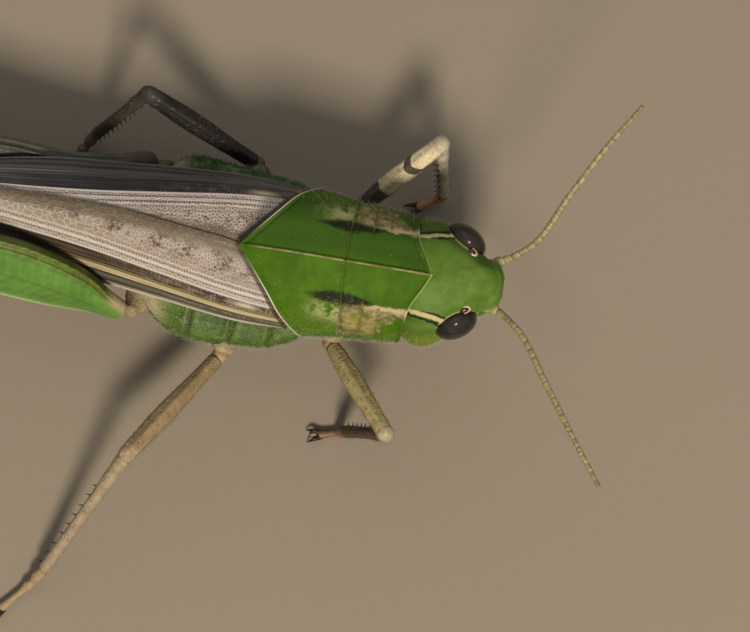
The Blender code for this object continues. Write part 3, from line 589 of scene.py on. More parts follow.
# %% Shape of the abdomen, the digging valves and the cerci
ABDOMEN_STATIONS = [  # s, half width, top, bottom
    (18.75, 1.95, 6.9, 2.3), (20.5, 1.88, 6.6, 1.75), (26.0, 1.90, 5.8, 1.40), (32.0, 1.98, 5.1, 1.25),
    (38.0, 1.95, 4.5, 1.20), (43.0, 1.70, 4.1, 1.25), (46.6, 1.25, 3.7, 1.40)]
SEGMENTS = 8


def abdomen_form():
    """Egg section w sin t (0.86 - 0.26 cos t), grown by the ring's own profile along s."""
    s = np.linspace(ABDOMEN_STATIONS[0][0] - 0.3, ABDOMEN_STATIONS[-1][0], 330)[:, None]
    half, top, bottom = through(ABDOMEN_STATIONS, s)
    turn = full_turn(120)
    ring = (s - ABDOMEN_STATIONS[0][0]) / (ABDOMEN_STATIONS[-1][0] - ABDOMEN_STATIONS[0][0]) * SEGMENTS
    share = ring % 1
    side_plate = ridge(np.cos(turn), -0.25, 0.07)
    grow = -0.16 * (1 - step(share, 0.0, 0.16)) - 0.03 * step(share, 0.93, 1.0) - 0.09 * side_plate
    grow = grow + 0.02 * ridge(share, 0.9, 0.05)
    y = (half + grow) * np.sin(turn) * (0.86 - 0.26 * np.cos(turn))
    z = (top + bottom) / 2 + ((top - bottom) / 2 + grow) * np.cos(turn)
    pore = np.hypot((share - 0.35) * 2.9, np.cos(turn) * 2.5)
    return tube(at(s, y, z), ring=share, upper=np.cos(turn)[None, :], pore=step(pore, 0.32, 0.2))


def tail_forms():
    """Two pairs of valves, curved apart, and the two short cerci."""
    end = ABDOMEN_STATIONS[-1][0]
    t = evenly(30)
    valves = []
    for sign, base in ((1, 3.35), (-1, 2.45)):
        for side in SIDES.values():
            rise = through([(0, 0.0), (0.2, 0.12), (0.4, 0.2), (0.6, 0.25), (0.8, 0.45), (1, 0.9)], t)[0]
            size = through([(0, 0.5), (0.2, 0.5), (0.4, 0.46), (0.6, 0.4), (0.8, 0.3), (1, 0.05)], t)[0]
            path = at(end - 0.15 + 3.1 * t, side * size * 0.72, base + sign * rise)
            valves.append(tube(ring_path(path, size, size * 0.75, (0, 1, 0), 24), dark=t[:, None]))
    cerci = []
    for side in SIDES.values():
        path = at(end - 0.9 + 1.4 * t, side * (1.42 + 0.13 * t), 2.9 + 0.2 * t)
        size = 0.3 * np.sqrt(np.clip(1 - t ** 2.5, 0.01, 1)) * (0.85 + 0.15 * step(t, 0, 0.2))
        cerci.append(tube(ring_path(path, size, size * 0.85, (0, 1, 0), 20)))
    return joined(valves), joined(cerci)


print("rings of the abdomen:", SEGMENTS)

# %% [markdown]
# ## The wings
# The two forewings lie folded as a roof.  Each is a sheet in two fields that meet at the fold line:
# the upper field from the line where the wings meet, and the side field below the fold.  The long
# veins are relief; the net of small veins is left to the finish, which reads where it is on the wing.

# %% Shape of the forewings
WING_START, WING_TIP = 10.35, 57.0
WING_DRIFT, DRIFT_END = 0.020, 15.0
WING_STATIONS = [  # s, ridge z, fold y and z, lower edge y and z on the right, then on the left
    (10.35, 10.5, 2.80, 9.05, 3.40, 6.5, 3.75, 6.5), (13.0, 10.75, 2.60, 9.45, 3.40, 6.2, 3.90, 6.3),
    (17.0, 10.85, 2.00, 9.60, 3.00, 6.0, 3.70, 6.3), (20.5, 10.60, 1.45, 9.70, 2.65, 5.8, 3.30, 6.9),
    (23.0, 10.45, 1.15, 9.65, 2.38, 5.65, 2.90, 7.9), (25.5, 10.25, 0.92, 9.60, 2.10, 5.5, 2.40, 8.2),
    (28.5, 9.90, 0.88, 9.30, 1.98, 5.3, 1.75, 7.2), (35.0, 9.10, 0.85, 8.50, 1.75, 4.9, 1.65, 5.2),
    (45.0, 7.50, 0.80, 7.00, 1.55, 4.2, 1.55, 4.2), (52.0, 6.30, 0.68, 5.95, 1.20, 4.0, 1.20, 4.0),
    (56.0, 5.65, 0.58, 5.45, 0.95, 4.3, 0.95, 4.3), (57.0, 5.35, 0.52, 5.25, 0.80, 4.6, 0.80, 4.6)]
SUTURE = [  # s and y of the line where the right wing's inner edge lies over the left wing
    (10.35, -0.6), (13.7, 0.13), (16.4, 0.38), (18.7, 0.64), (21.0, 0.76), (25.3, 0.72), (57.0, 0.3)]
WING_LAP = 0.25
FOLD_STRIP = 0.2
WING_THICK = 0.12
UPPER_VEINS = [(0.02, 0.055), (0.29, 0.045), (0.56, 0.03), (1.05, 0.02)]  # distance from the fold, height
SIDE_VEINS = [(0.38, 0.03), (0.47, 0.04), (0.66, 0.03), (0.86, 0.04), (0.985, 0.05)]  # share down


def drift(s):
    """How far to the left the wings lie: WING_DRIFT for each millimetre back, over DRIFT_END mm."""
    return WING_DRIFT * np.clip(s - WING_START, 0, DRIFT_END)


def wing_form(side):
    """Upper field: y even between the meeting line and the fold, z = ridge - (ridge - fold)
    |y/fold|^1.4.  Side field: straight from the fold to the lower edge, bulged by 0.15 sin(pi t),
    and by less where the lower edge lies within 2 mm of the middle."""
    s = np.linspace(WING_START, WING_TIP, 400)[:, None]
    ridge_z, fold_y, fold_z, *edges = through(WING_STATIONS, s)
    low_y, low_z = edges[:2] if side < 0 else edges[2:]
    suture = np.minimum(through(SUTURE, s)[0], fold_y - FOLD_STRIP)
    edge = -suture if side < 0 else suture - WING_LAP
    share = evenly(58)[None, :]
    upper_y = edge + share * (fold_y - edge)
    upper_z = ridge_z - (ridge_z - fold_z) * np.abs(upper_y / fold_y) ** 1.4
    down = evenly(50)[None, 1:]
    side_y = fold_y + (low_y - fold_y) * down + 0.15 * np.sin(math.pi * down) * np.minimum(1, low_y / 2)
    side_z = fold_z + (low_z - fold_z) * down
    y, z = np.hstack([upper_y, side_y]), np.hstack([upper_z, side_z])
    grid = at(s, side * y + drift(s), z)
    normal = grid_normals(grid, at(30.0, 0.0, 5.0))
    from_fold = np.hstack([(1 - share) * (fold_y - edge), 0 * side_y])
    t = np.hstack([0 * upper_y, down + 0 * side_y])
    field = np.hstack([share + 0 * upper_y, -down + 0 * side_y])
    push = np.zeros_like(y)
    for place, height in UPPER_VEINS:
        push += height * ridge(from_fold, place, 0.05) * (t == 0)
    for place, height in SIDE_VEINS:
        push += height * ridge(t, place, 0.017)
    push *= step(s, WING_TIP, WING_TIP - 2) * step(s, WING_START, WING_START + 2)
    heart = (ridge_z + edges[1]) / 2 - 0.4
    inward = WING_THICK / np.hypot(y, z - heart)
    drop = at(0 * y, -side * y * inward, (heart - z) * inward)
    inner = step(from_fold, (fold_y - edge) - 0.55, (fold_y - edge) - 0.2) * (t == 0)
    push += inner * (0.07 if side < 0 else -0.06)
    rear_edge = [(width * PRONOTUM_SPREAD[-1][1], rear) for _, width, _, _, rear in PRONOTUM_SECTION[:5]]
    from_saddle = s - through(rear_edge, np.abs(side * y + drift(s)))[0]
    return sheet(grid + normal * push[..., None], grid + drop, from_saddle=from_saddle,
                 at_wing=np.stack([s + 0 * y, from_fold - 10 * t, field], -1))


print("forewing, mm long:", round(WING_TIP - WING_START, 2))

# %% [markdown]
# ## The legs
# A small leg is a coxa, a ring-like trochanter, a femur, a tibia with two rows of little spines and a
# foot of three padded joints with two claws and a pad between them.  Every part is a tube whose size
# follows a short list of swellings.

# %% Shapes shared by all legs
def swollen(t, sizes):
    """Smooth size along a part: sizes are given at even steps of its length."""
    return through(np.column_stack([evenly(len(sizes)), sizes]), t)[0]


def domed(t, near=0.06, far=0.06):
    """Closes both ends with a dome: sqrt(1 - (1 - t/near)^2) near the start, likewise at the end."""
    start = np.sqrt(np.clip(1 - np.clip(1 - t / near, 0, 1) ** 2, 0.02, 1))
    end = np.sqrt(np.clip(1 - np.clip(1 - (1 - t) / far, 0, 1) ** 2, 0.02, 1))
    return start * end


def straight(start, end, count):
    """count points evenly from start to end."""
    return start + (end - start) * evenly(count)[:, None]


def spike(foot, tip, radius):
    """Straight thorn of six sides from foot to tip: its radius falls as (1 - t^1.5)."""
    t = evenly(6)
    path = straight(foot, tip, len(t))
    size = radius * np.clip(1 - t ** 1.5, 0.03, 1)
    side = np.cross(tip - foot, (0.3, 0.2, 1.0))
    return tube(ring_path(path, size, size, side, 6), spine=t[:, None] + 0.05)


def spine_rows(path, first, last, count, length, out_side, spread, radius, reach):
    """Two rows of thorns along a path, leaning towards its end; out_side is their common direction."""
    along = unit(np.gradient(path, axis=0))
    thorns = []
    for row in (1, -1):
        for share in np.linspace(first, last, count) + 0.012 * row:
            k = int(share * (len(path) - 1))
            out = unit(out_side + row * spread * np.cross(along[k], out_side))
            foot = path[k] + out * reach * 0.6
            thorns.append(spike(foot, path[k] + out * (reach + length * 0.75) + along[k] * length * 0.5,
                                radius))
    return thorns


def above_floor(forms):
    """The forms with every point below the floor raised to it."""
    for made in forms:
        made["points"][:, 2] = np.maximum(made["points"][:, 2], 0.0)
    return forms


def foot_forms(ankle, points, radius):
    """Three joints with pads below, two hooked claws and the pad between them; nothing goes below 0."""
    path = path_through([ankle] + points, 90)
    path[:, 2] = np.maximum(path[:, 2], radius * 0.75)
    t = evenly(90)
    size = radius * swollen(t, [0.74, 0.92, 1.0, 0.66, 0.95, 0.68, 0.56, 0.58, 0.62, 0.72, 0.78])
    size *= domed(t, 0.02, 0.05)
    rings = ring_path(path, size, size * 0.9, (0, 0, 1), 22)
    forms = [tube(rings, tarsal=1.0, pad=step(rings[..., 2], 0.16, 0.02))]
    heading = path[-1] - path[-12]
    heading[2] = 0
    heading = unit(heading)
    side = np.array((-heading[1], heading[0], 0.0))
    tip = path[-1]
    for sign in SIDES.values():
        claw = spline([tip - heading * 0.2 + side * sign * 0.1, tip + heading * 0.28 + side * sign * 0.24
                       + (0, 0, 0.16), tip * (1, 1, 0) + heading * 0.62 + side * sign * 0.33
                       + (0, 0, 0.03)], 16)
        k = evenly(16)
        bent = 0.145 * (1 - 0.93 * k ** 1.3)
        forms.append(tube(ring_path(claw, bent, bent * 0.8, (0, 0, 1), 12), spine=k[:, None] + 0.4))
    k = evenly(14)
    pad = straight(tip, tip * (1, 1, 0) + heading * 0.42 + (0, 0, 0.14), 14)
    size = 0.15 * domed(k, 0.3, 0.5)
    forms.append(tube(ring_path(pad, size, size * 1.1, (0, 0, 1), 14), pad=1.0))
    return above_floor(forms)


print("a thorn has", len(spike(np.zeros(3), np.array((0.0, 0.0, 1.0)), 0.1)["points"]), "points")

# %% Shapes of the fore and middle legs
LEGS = {  # root, coxa end, knee, ankle, then the foot's own places
    "left_fore": [(7.9, 1.6, 4.7), (7.65, 3.7, 3.6), (4.15, 7.1, 6.7), (3.55, 5.2, 1.45),
                  (3.95, 4.95, 0.42), (4.45, 4.65, 0.34), (4.85, 4.42, 0.30)],
    "right_fore": [(7.9, -1.6, 4.7), (8.15, -3.5, 4.0), (4.56, -7.8, 6.3), (6.6, -7.8, 1.45),
                   (7.05, -7.9, 0.42), (7.6, -8.05, 0.34), (8.0, -8.15, 0.30)],
    "left_mid": [(13.0, 2.2, 4.4), (13.2, 4.9, 3.7), (19.1, 7.1, 7.6), (22.0, 5.4, 1.0),
                 (22.6, 4.55, 0.42), (23.2, 3.6, 0.34), (23.45, 3.0, 0.30)],
    "right_mid": [(13.0, -2.2, 4.4), (13.5, -5.0, 3.7), (17.36, -10.9, 4.9), (20.9, -17.45, 1.0),
                  (21.6, -18.35, 0.42), (22.3, -19.15, 0.34), (22.8, -19.75, 0.30)]}
SMALL_FEMUR = {"fore": (0.52, 0.64), "mid": (0.52, 0.68)}
SMALL_TIBIA = {"fore": 0.33, "mid": 0.32}
FEMUR_SWELL = {"fore": [0.72, 0.86, 0.95, 1.0, 1.02, 1.0, 0.96, 0.90, 0.86, 0.86, 0.78],
               "mid": [0.80, 0.80, 0.82, 0.88, 0.95, 1.01, 1.03, 0.99, 0.93, 0.90, 0.80]}
SPINE_TURN = {"right_mid": np.array((-0.6, 0.45, 0.0))}  # turns a tibia's thorns about it
SPINES_PER_ROW = {"fore": 7, "mid": 9, "hind": 11}
MARK_START = 0.001  # what the marks thigh and shin begin with, so that 0 means: on another part


def small_leg_form(name):
    """Coxa and trochanter, femur with six soft keels (1 + 0.05 cos(6 a)), tibia with its thorns, and
    the foot; the size along each is its list of swellings times its domed ends."""
    root, hip, knee, ankle, *foot = (np.array(place) for place in LEGS[name])
    pair = name.split("_")[1]
    breadth, depth = SMALL_FEMUR[pair]
    forms = []
    t = evenly(50)
    path = path_through([root, (root + hip) / 2, hip], 50)
    size = swollen(t, [0.95, 1.0, 0.98, 0.88, 0.74, 0.60]) * domed(t, 0.05, 0.12)
    size *= 1 - 0.10 * ridge(t, 0.80, 0.02)
    forms.append(tube(ring_path(path, size, size * 0.92, (1, 0, 0), 36)))
    hip, knee, ankle = at(*hip), at(*knee), at(*ankle)
    thigh, shin = unit(knee - hip), unit(ankle - knee)
    k = evenly(24)
    size = np.full(24, breadth * 0.82) * domed(k, 0.5, 0.5)
    forms.append(tube(ring_path(straight(hip - thigh * 0.3, hip + thigh * 0.55, 24), size, size,
                                (0, 0, 1), 28)))
    t = evenly(120)
    path = straight(hip + thigh * 0.26, knee + thigh * breadth * 0.8, 120)
    turn = full_turn(40)
    keels = 1 + 0.05 * np.cos(6 * turn)[None, :] * (domed(t, 0.3, 0.3)[:, None]) ** 2
    size = swollen(t, FEMUR_SWELL[pair]) * domed(t, 0.03, 0.07) * (1 - 0.05 * ridge(t, 0.90, 0.010))
    rings = ring_path(path, breadth * size, depth * size, (0, 0, 1), 40, shape=keels)
    forms.append(tube(rings, thigh=t[:, None] + MARK_START, thigh_side=np.cos(turn)[None, :]))
    path = straight(knee + shin * 0.05, ankle, 90)
    t = evenly(90)
    size = swollen(t, [1.18, 1.16, 0.98, 0.93, 0.93, 0.96, 1.02]) * domed(t, 0.03, 0.05)
    size = SMALL_TIBIA[pair] * size * (1 - 0.10 * ridge(t, 0.13, 0.03))
    forms.append(tube(ring_path(path, size, size, (0, 0, 1), 24), shin=t[:, None] + MARK_START))
    inner = unit(np.cross(np.cross(shin, SPINE_TURN.get(name, 0) - thigh), shin))
    forms += spine_rows(path, 0.30, 0.95, SPINES_PER_ROW[pair], length=0.42, out_side=inner,
                        spread=0.75, radius=0.055, reach=0.26)
    heel = np.array(LEGS[name][3])
    return joined(forms + foot_forms(heel - unit(foot[0] - heel) * 0.15, foot, 0.31))


print("small legs, thigh in mm:", {name: round(float(np.linalg.norm(np.subtract(row[2], row[1]))), 1)
                                   for name, row in LEGS.items()})

# %% [markdown]
# The hind femur is the largest part of a leg.  Its section is a flattened oval with four keels, and
# its outer face carries the fishbone relief of the jumping muscle: ridges that rise from a middle
# line at the same slant above and below it.

# %% Shape of the hind legs
HIND_ROOT = (17.3, 1.9, 4.0)
HIP_END = {"left": 0.62, "right": 0.38}  # radius of the short coxa where the thigh begins
HIND_FEMUR = {
    "left": [(18.3, 4.25, 4.4), (20.3, 3.55, 4.5), (22.5, 3.05, 4.8), (26.0, 3.1, 5.4),
             (33.0, 3.2, 7.1), (41.3, 3.3, 9.3)],
    "right": [(18.6, -3.8, 5.2), (20.3, -3.35, 6.1), (22.5, -3.0, 7.4), (26.0, -2.65, 8.9),
              (33.0, -2.25, 10.9), (41.3, -2.0, 12.4)]}
HIND_LEAN = {"left": 0.15, "right": 1.0}  # share of the inward lean below that each thigh takes
TIBIA_BEND = [  # s and z from the knee, down the shin's bent upper end
    (0.05, -0.60), (0.45, -1.30), (0.2, -1.95), (-0.7, -2.6)]
HIND_TARSUS = {  # heel, then the foot's own places
    "left": [(28.3, 3.5, 1.35), (28.2, 3.5, 0.55), (29.6, 3.6, 0.48), (31.3, 3.7, 0.38),
             (32.9, 3.8, 0.34)],
    "right": [(25.3, -3.0, 1.35), (25.2, -3.0, 0.55), (26.6, -3.05, 0.48), (28.3, -3.1, 0.38),
              (29.9, -3.15, 0.34)]}
FEMUR_STATIONS = [  # share of the length, half depth, half thickness, inward lean in degrees
    (0.00, 0.62, 0.48, 0), (0.05, 1.10, 0.62, 6), (0.14, 2.05, 0.86, 14), (0.28, 2.65, 0.98, 20),
    (0.42, 2.50, 0.95, 18), (0.60, 1.75, 0.80, 14), (0.78, 1.05, 0.58, 6), (0.90, 0.84, 0.52, 0),
    (0.96, 1.02, 0.58, 0), (1.00, 1.05, 0.60, 0)]
THIGH_AROUND = 112  # points round the thigh
THIGH_LENGTH, BONE_GAP = 23.5, 0.62
OUTER_FIELD = {"left": (66, -44), "right": (72, -20)}  # the two outer keels, in degrees round the thigh


def from_outer_face(grid, side):
    """A grid round the thigh that begins on the inner face, begun on the outer face as the rings
    are, and turned the same way round as they are on that side of the animal."""
    grid = np.roll(grid, THIGH_AROUND // 2, 1)
    return grid if side > 0 else grid[:, ::-1]


def hind_femur_form(name):
    """Angle a runs round the section, 0 on the outer face and m midway between the two outer keels;
    fishbone: 0.015 cos(2 pi (t L / BONE_GAP - 1.05 |a - m|)) between those keels, and more keels at
    90, -90 and 128 degrees on both sides."""
    side = SIDES[name]
    high, low = OUTER_FIELD[name]
    t = evenly(320)
    path = path_through(HIND_FEMUR[name], len(t))
    deep, wide, lean = through(FEMUR_STATIONS, t)
    ends = domed(t, 0.02, 0.035)
    angle = np.linspace(-math.pi, math.pi, THIGH_AROUND, endpoint=False)[None, :] + 0 * t[:, None]
    turn = -np.degrees(angle)
    body = (step(t, 0.02, 0.10) * step(t, 0.90, 0.80))[:, None]
    keels = 0.09 * ridge(turn, 90, 5) + 0.07 * ridge(turn, -90, 5) + 0.05 * ridge(np.abs(turn), 128, 5)
    keels = keels + 0.06 * ridge(turn, high, 4.5) + 0.075 * ridge(turn, low, 4.5)
    keels = keels - 0.06 * step(turn, low - 3, low - 9) * step(turn, -86, -76)
    field = step(turn, high, high - 6) * step(turn, low, low + 6)
    across = turn - (high + low) / 2
    slant = np.abs(np.radians(across)) * 1.05
    bones = np.cos(2 * math.pi * (t[:, None] * THIGH_LENGTH / BONE_GAP - slant))
    flat = 0.015 * bones * field * step(np.abs(across), 3, 10) + 0.02 * ridge(across, 0, 4) - 0.10 * field
    knee = 0.10 * ridge(t[:, None], 0.955, 0.03) * np.cos(angle) ** 2
    teeth = 0.012 * ridge(turn, 90, 5) * np.cos(2 * math.pi * t[:, None] * 46)
    shape, turn, bones = (from_outer_face(grid, side) for grid in (
        1 + body * (keels + flat + teeth) + knee, turn, bones * field))
    rings = ring_path(path, deep * ends, wide * ends, (0, side, 0), THIGH_AROUND,
                      lean=np.radians(lean) * HIND_LEAN[name], shape=shape)
    return tube(rings, at_thigh=np.stack([t[:, None] + 0 * turn, turn / 90, 0 * turn], -1),
                bones=bones * body)


def hind_shin_form(name):
    """Tibia with its bent upper end, two rows of spines, spurs and the foot."""
    knee = np.array(HIND_FEMUR[name][-1])
    heel, *foot = (np.array(place) for place in HIND_TARSUS[name])
    bend = [knee + (s, 0, z) for s, z in TIBIA_BEND]
    path = path_through(bend + [(bend[-1] + heel) / 2, heel], 240)
    t = evenly(240)
    size = swollen(t, [0.50, 0.50, 0.43, 0.39, 0.37, 0.36, 0.36, 0.37, 0.38, 0.40, 0.44])
    size *= domed(t, 0.02, 0.02)
    forms = [tube(ring_path(path, size, size * 0.92, (0, 1, 0), 28), shin=t[:, None] + MARK_START)]
    down = unit(path[-20] - path[40])
    back = np.array((down[2], 0.0, -down[0]))  # square to the shin, away from the thigh
    forms += spine_rows(path, 0.20, 0.93, SPINES_PER_ROW["hind"], length=0.85, out_side=unit(back),
                        spread=0.8, radius=0.12, reach=0.32)
    along = unit(path[-1] - path[-8])
    for row in (1, -1):
        for fall in (0.5, -0.3):
            out = unit(np.array((-0.5 - 0.4 * fall, row * 0.9, 0.1)))
            forms.append(spike(path[-6] + out * 0.2, path[-4] + out * 0.55 + along * 0.6, 0.13))
    return joined(above_floor(forms) + foot_forms(heel + (0.1, 0, 0.15), foot, 0.44))


def hind_coxa_form(name):
    """Knob from the chest to the thigh: its list of swellings times its domed ends, with a ring
    of depth 0.05 near two thirds of its way."""
    flip = np.array((1, SIDES[name], 1))
    hip = np.array(HIND_FEMUR[name][0])
    root = np.array(HIND_ROOT) * flip
    path = path_through([root, (root + hip) / 2 + (0, 0, -0.35), hip - (0.15, 0, 0.15)], 60)
    t = evenly(60)
    size = swollen(t, [1.2, 1.2, 1.05, 0.80, HIP_END[name] + 0.1, HIP_END[name]]) * domed(t, 0.05, 0.05)
    size *= 1 - 0.05 * ridge(t, 0.66, 0.05)
    return tube(ring_path(path, size, size * 0.9, (0, 1, 0), 40))


print("hind knees, mm over the floor:", {name: HIND_FEMUR[name][-1][2] for name in SIDES})

# %% [markdown]
# ## Finishes
# Each finish is a tree of shader nodes.  The small class below adds nodes to a tree, so that a finish
# reads as a list of masks and mixes.  Masks come from the marks that the forms carry, in millimetres
# on the animal, with edges made ragged by noise.

# %% A short way to write node trees
def feed(socket, value):
    """Links a socket to another node's result, or sets it; a plain colour gets its alpha of 1."""
    if isinstance(value, bpy.types.NodeSocket):
        socket.id_data.links.new(value, socket)
    elif value is not None:
        socket.default_value = (*value, 1.0) if socket.type == "RGBA" else value


class Paint:
    """Adds nodes to one tree; most methods give back the socket that carries their result."""

    def __init__(self, tree, name, shader=None):
        self.tree, self.name, self.shader, self.spot = tree, name, shader, None

    def node(self, kind, *values, named=None, **settings):
        """One node; values fill its sockets in order, named fills them by name."""
        made = self.tree.nodes.new("ShaderNode" + kind)
        for key, value in settings.items():
            setattr(made, key, value)
        for socket, value in zip(made.inputs, values):
            feed(socket, value)
        for key, value in (named or {}).items():
            feed(made.inputs[key], value)
        return made

    def calc(self, operation, *values):
        """One Math node."""
        return self.node("Math", *values, operation=operation).outputs[0]

    def line(self, value, factor, offset):
        """The value times factor plus offset."""
        return self.calc("MULTIPLY_ADD", value, factor, offset)

    def times(self, first, *more):
        """Product of all."""
        for value in more:
            first = self.calc("MULTIPLY", first, value)
        return first

    def most(self, first, *more):
        """Greatest of all."""
        for value in more:
            first = self.calc("MAXIMUM", first, value)
        return first

    def rise(self, value, low, high):
        """0 at low, 1 at high, smooth between; low may be the greater."""
        return self.node("MapRange", value, low, high, 0.0, 1.0,
                         interpolation_type="SMOOTHSTEP").outputs[0]

    def peak(self, value, centre, width):
        """1 at the centre, falling smoothly to 0 at a distance of width."""
        return self.rise(self.calc("ABSOLUTE", self.calc("SUBTRACT", value, centre)), width, 0.0)

    def mix(self, share, under, over, blend="MIX"):
        """Colour under with share of the colour over laid on it."""
        made = self.node("Mix", share, data_type="RGBA", blend_type=blend)
        feed(made.inputs[6], under)
        feed(made.inputs[7], over)
        return made.outputs[2]

    def between(self, share, first, second):
        """Number share of the way from first to second."""
        return self.node("MapRange", share, 0.0, 1.0, first, second).outputs[0]

    def layers(self, colour, *over):
        """Lays each (top colour, mask, mask ...) on what is below it, where all its masks meet."""
        for top, *masks in over:
            colour = self.mix(self.times(*masks), colour, top)
        return colour

    def mark(self, name):
        """Number that the form carries under this name."""
        return self.node("Attribute", attribute_name=name).outputs["Fac"]

    def marks(self, name):
        """Three numbers that the form carries under this name."""
        spread = self.node("Attribute", attribute_name=name).outputs["Vector"]
        return tuple(self.node("SeparateXYZ", spread).outputs)

    def place(self):
        """Place on the object in millimetres; its nodes are made once for a tree."""
        if self.spot is None:
            metres = self.node("TexCoord").outputs["Object"]
            self.spot = self.node("VectorMath", metres, (1000.0,) * 3, operation="MULTIPLY").outputs[0]
        return self.spot

    def noise(self, vector, scale, detail=2.0, rough=0.5):
        """Noise between 0 and 1, mostly near 0.5."""
        return self.node("TexNoise", named={"Vector": vector, "Scale": scale, "Detail": detail,
                                            "Roughness": rough}).outputs[0]

    def clouds(self, vector, scale, low, high, detail=4.0, rough=0.65):
        """Patches cut from a noise: 0 where it is below low, 1 where it is above high."""
        return self.rise(self.noise(vector, scale, detail, rough), low, high)

    def cells(self, vector, scale, random=1.0):
        """Distance to the nearest of many scattered points, scale of them to a unit."""
        return self.node("TexVoronoi", named={"Vector": vector, "Scale": scale,
                                              "Randomness": random}).outputs["Distance"]

    def use(self, group, *values):
        """Outputs of one more copy of a shared group, whose sockets the values fill in order."""
        made = self.node("Group", node_tree=group)
        for socket, value in zip(made.inputs, values):
            feed(socket, value)
        return made.outputs

    def dress(self, colour, height=None, depth_mm=0.0):
        """Ends a finish: its colour, and its relief, whose height 0 to 1 stands for depth_mm."""
        feed(self.shader.inputs["Base Color"], colour)
        if height is not None:
            bump = self.node("Bump", named={"Height": height, "Strength": 1.0, "Distance": depth_mm * MM})
            feed(self.shader.inputs["Normal"], bump.outputs[0])
        print(f"{self.name}: {len(self.tree.nodes)} nodes")

    def give(self, result, *values):
        """Ends a group: the values feed its outputs in order.  Gives the group."""
        for socket, value in zip(result, values):
            feed(socket, value)
        print(f"{self.name}: {len(self.tree.nodes)} nodes")
        return self.tree


def group(name, inputs, outputs):
    """New node group; gives its Paint, the sockets of its inputs and those of its outputs."""
    tree = bpy.data.node_groups.new(name, "ShaderNodeTree")
    kinds = {"number": "NodeSocketFloat", "vector": "NodeSocketVector", "colour": "NodeSocketColor"}
    for way, sockets in (("INPUT", inputs), ("OUTPUT", outputs)):
        for label, kind in sockets.items():
            tree.interface.new_socket(label, in_out=way, socket_type=kinds[kind])
    ends = tree.nodes.new("NodeGroupInput").outputs, tree.nodes.new("NodeGroupOutput").inputs
    return Paint(tree, name), *ends


def finish(name, rough=0.45, specular=0.25, coat=0.0, coat_rough=0.03):
    """New material; gives it and the Paint of its tree."""
    made = bpy.data.materials.new(name)
    made.use_nodes = True
    shader = made.node_tree.nodes["Principled BSDF"]
    for key, value in (("Roughness", rough), ("Specular IOR Level", specular), ("Coat Weight", coat),
                       ("Coat Roughness", coat_rough)):
        feed(shader.inputs[key], value)
    return made, Paint(made.node_tree, name, shader)


print("Paint can:", *(name for name in vars(Paint) if not name.startswith("_")))

# %% Shared effects: ragged edges, pits and grain
paint, given, result = group("ragged edge", {"Mask": "number", "Vector": "vector", "Scale": "number",
                                             "Amount": "number"}, {"Mask": "number"})
rough_noise = paint.calc("SUBTRACT", paint.noise(given[1], given[2], 3.0, 0.6), 0.5)
moved = paint.line(rough_noise, given[3], given[0])
ragged_edge = paint.give(result, paint.rise(moved, 0.38, 0.62))

paint, given, result = group("pits", {"Vector": "vector", "Scale": "number"},
                             {"Height": "number", "Glint": "number"})
pit = paint.cells(given[0], given[1])
fine = paint.noise(given[0], paint.calc("MULTIPLY", given[1], 2.5), 2.0)
some = paint.clouds(given[0], 1.1, 0.52, 0.60, 1.0, 0.5)
pits = paint.give(result, paint.line(fine, 0.35, paint.rise(pit, 0.0, 0.5)),
                  paint.times(paint.rise(pit, 0.16, 0.06), some))

paint, given, result = group("grain", {"Vector": "vector", "Scale": "number", "Dark": "colour",
                                       "Light": "colour"}, {"Colour": "colour"})
patches = paint.clouds(given[0], given[1], 0.34, 0.68, 4.0, 0.62)
grain = paint.give(result, paint.mix(patches, given[2], given[3]))


def grained(paint, scale, dark, light):
    """Two close colours mixed by a fine noise, with about scale patches to a millimetre."""
    return paint.use(grain, paint.place(), scale, dark, light)[0]


# %% [markdown]
# The head is satin green.  A cream stripe edged with black runs from the rear of each eye to the
# saddle; the cheeks are more yellow, and the eyes sit in thin pale rims.

# %% Colours of the head, shared by the skin and its hairs
GREEN, LIME = (0.058, 0.110, 0.010), (0.125, 0.165, 0.008)
CREAM, UMBER, BLACK = (0.43, 0.32, 0.165), (0.075, 0.045, 0.022), (0.010, 0.009, 0.006)

paint, given, result = group("head colours", {}, {"Colour": "colour"})
s, y, z = paint.marks("at_head")
spot = paint.place()
out = paint.calc("ABSOLUTE", y)
green = grained(paint, 0.9, GREEN, (0.092, 0.152, 0.024))
from_stripe = paint.calc("SUBTRACT", out, paint.line(s, -0.173, 2.62))
ran = paint.line(paint.noise(spot, 3.0, 4.0, 0.65), 0.24,
                 paint.calc("SUBTRACT", from_stripe, 0.12))
high = paint.times(paint.rise(z, 8.8, 9.3), paint.rise(s, 2.45, 2.75))
stripe = paint.times(paint.peak(ran, 0.0, 0.19), high)
edge = paint.times(paint.most(paint.peak(ran, 0.20, 0.13),
                              paint.times(paint.peak(ran, -0.17, 0.09), paint.rise(s, 4.4, 3.4))), high)
low = paint.times(paint.rise(z, 9.2, 7.6), paint.rise(s, 0.9, 2.2))
face = paint.times(paint.rise(s, 1.0, 0.4), paint.rise(z, 10.1, 9.3))
brow = paint.times(paint.peak(z, 10.15, 0.42), paint.rise(s, 1.3, 0.4))
# The darker green laid on the animal's left side is painted shade.
colour = paint.layers(
    green, ((0.036, 0.068, 0.006), paint.rise(y, 0.2, 2.6), 0.7), (LIME, low, 0.85),
    ((0.12, 0.18, 0.025), face, 0.55), ((0.19, 0.23, 0.035), brow, 0.2),
    ((0.30, 0.27, 0.09), paint.rise(z, 5.6, 4.4), 0.7),
    (BLACK, paint.use(ragged_edge, edge, spot, 5.0, 0.5)[0], 0.9),
    (CREAM, paint.use(ragged_edge, stripe, spot, 6.0, 0.35)[0]),
    ((0.36, 0.30, 0.14), paint.rise(paint.mark("eye_rim"), 0.5, 1.0), 0.65))
head_colours = paint.give(result, colour)

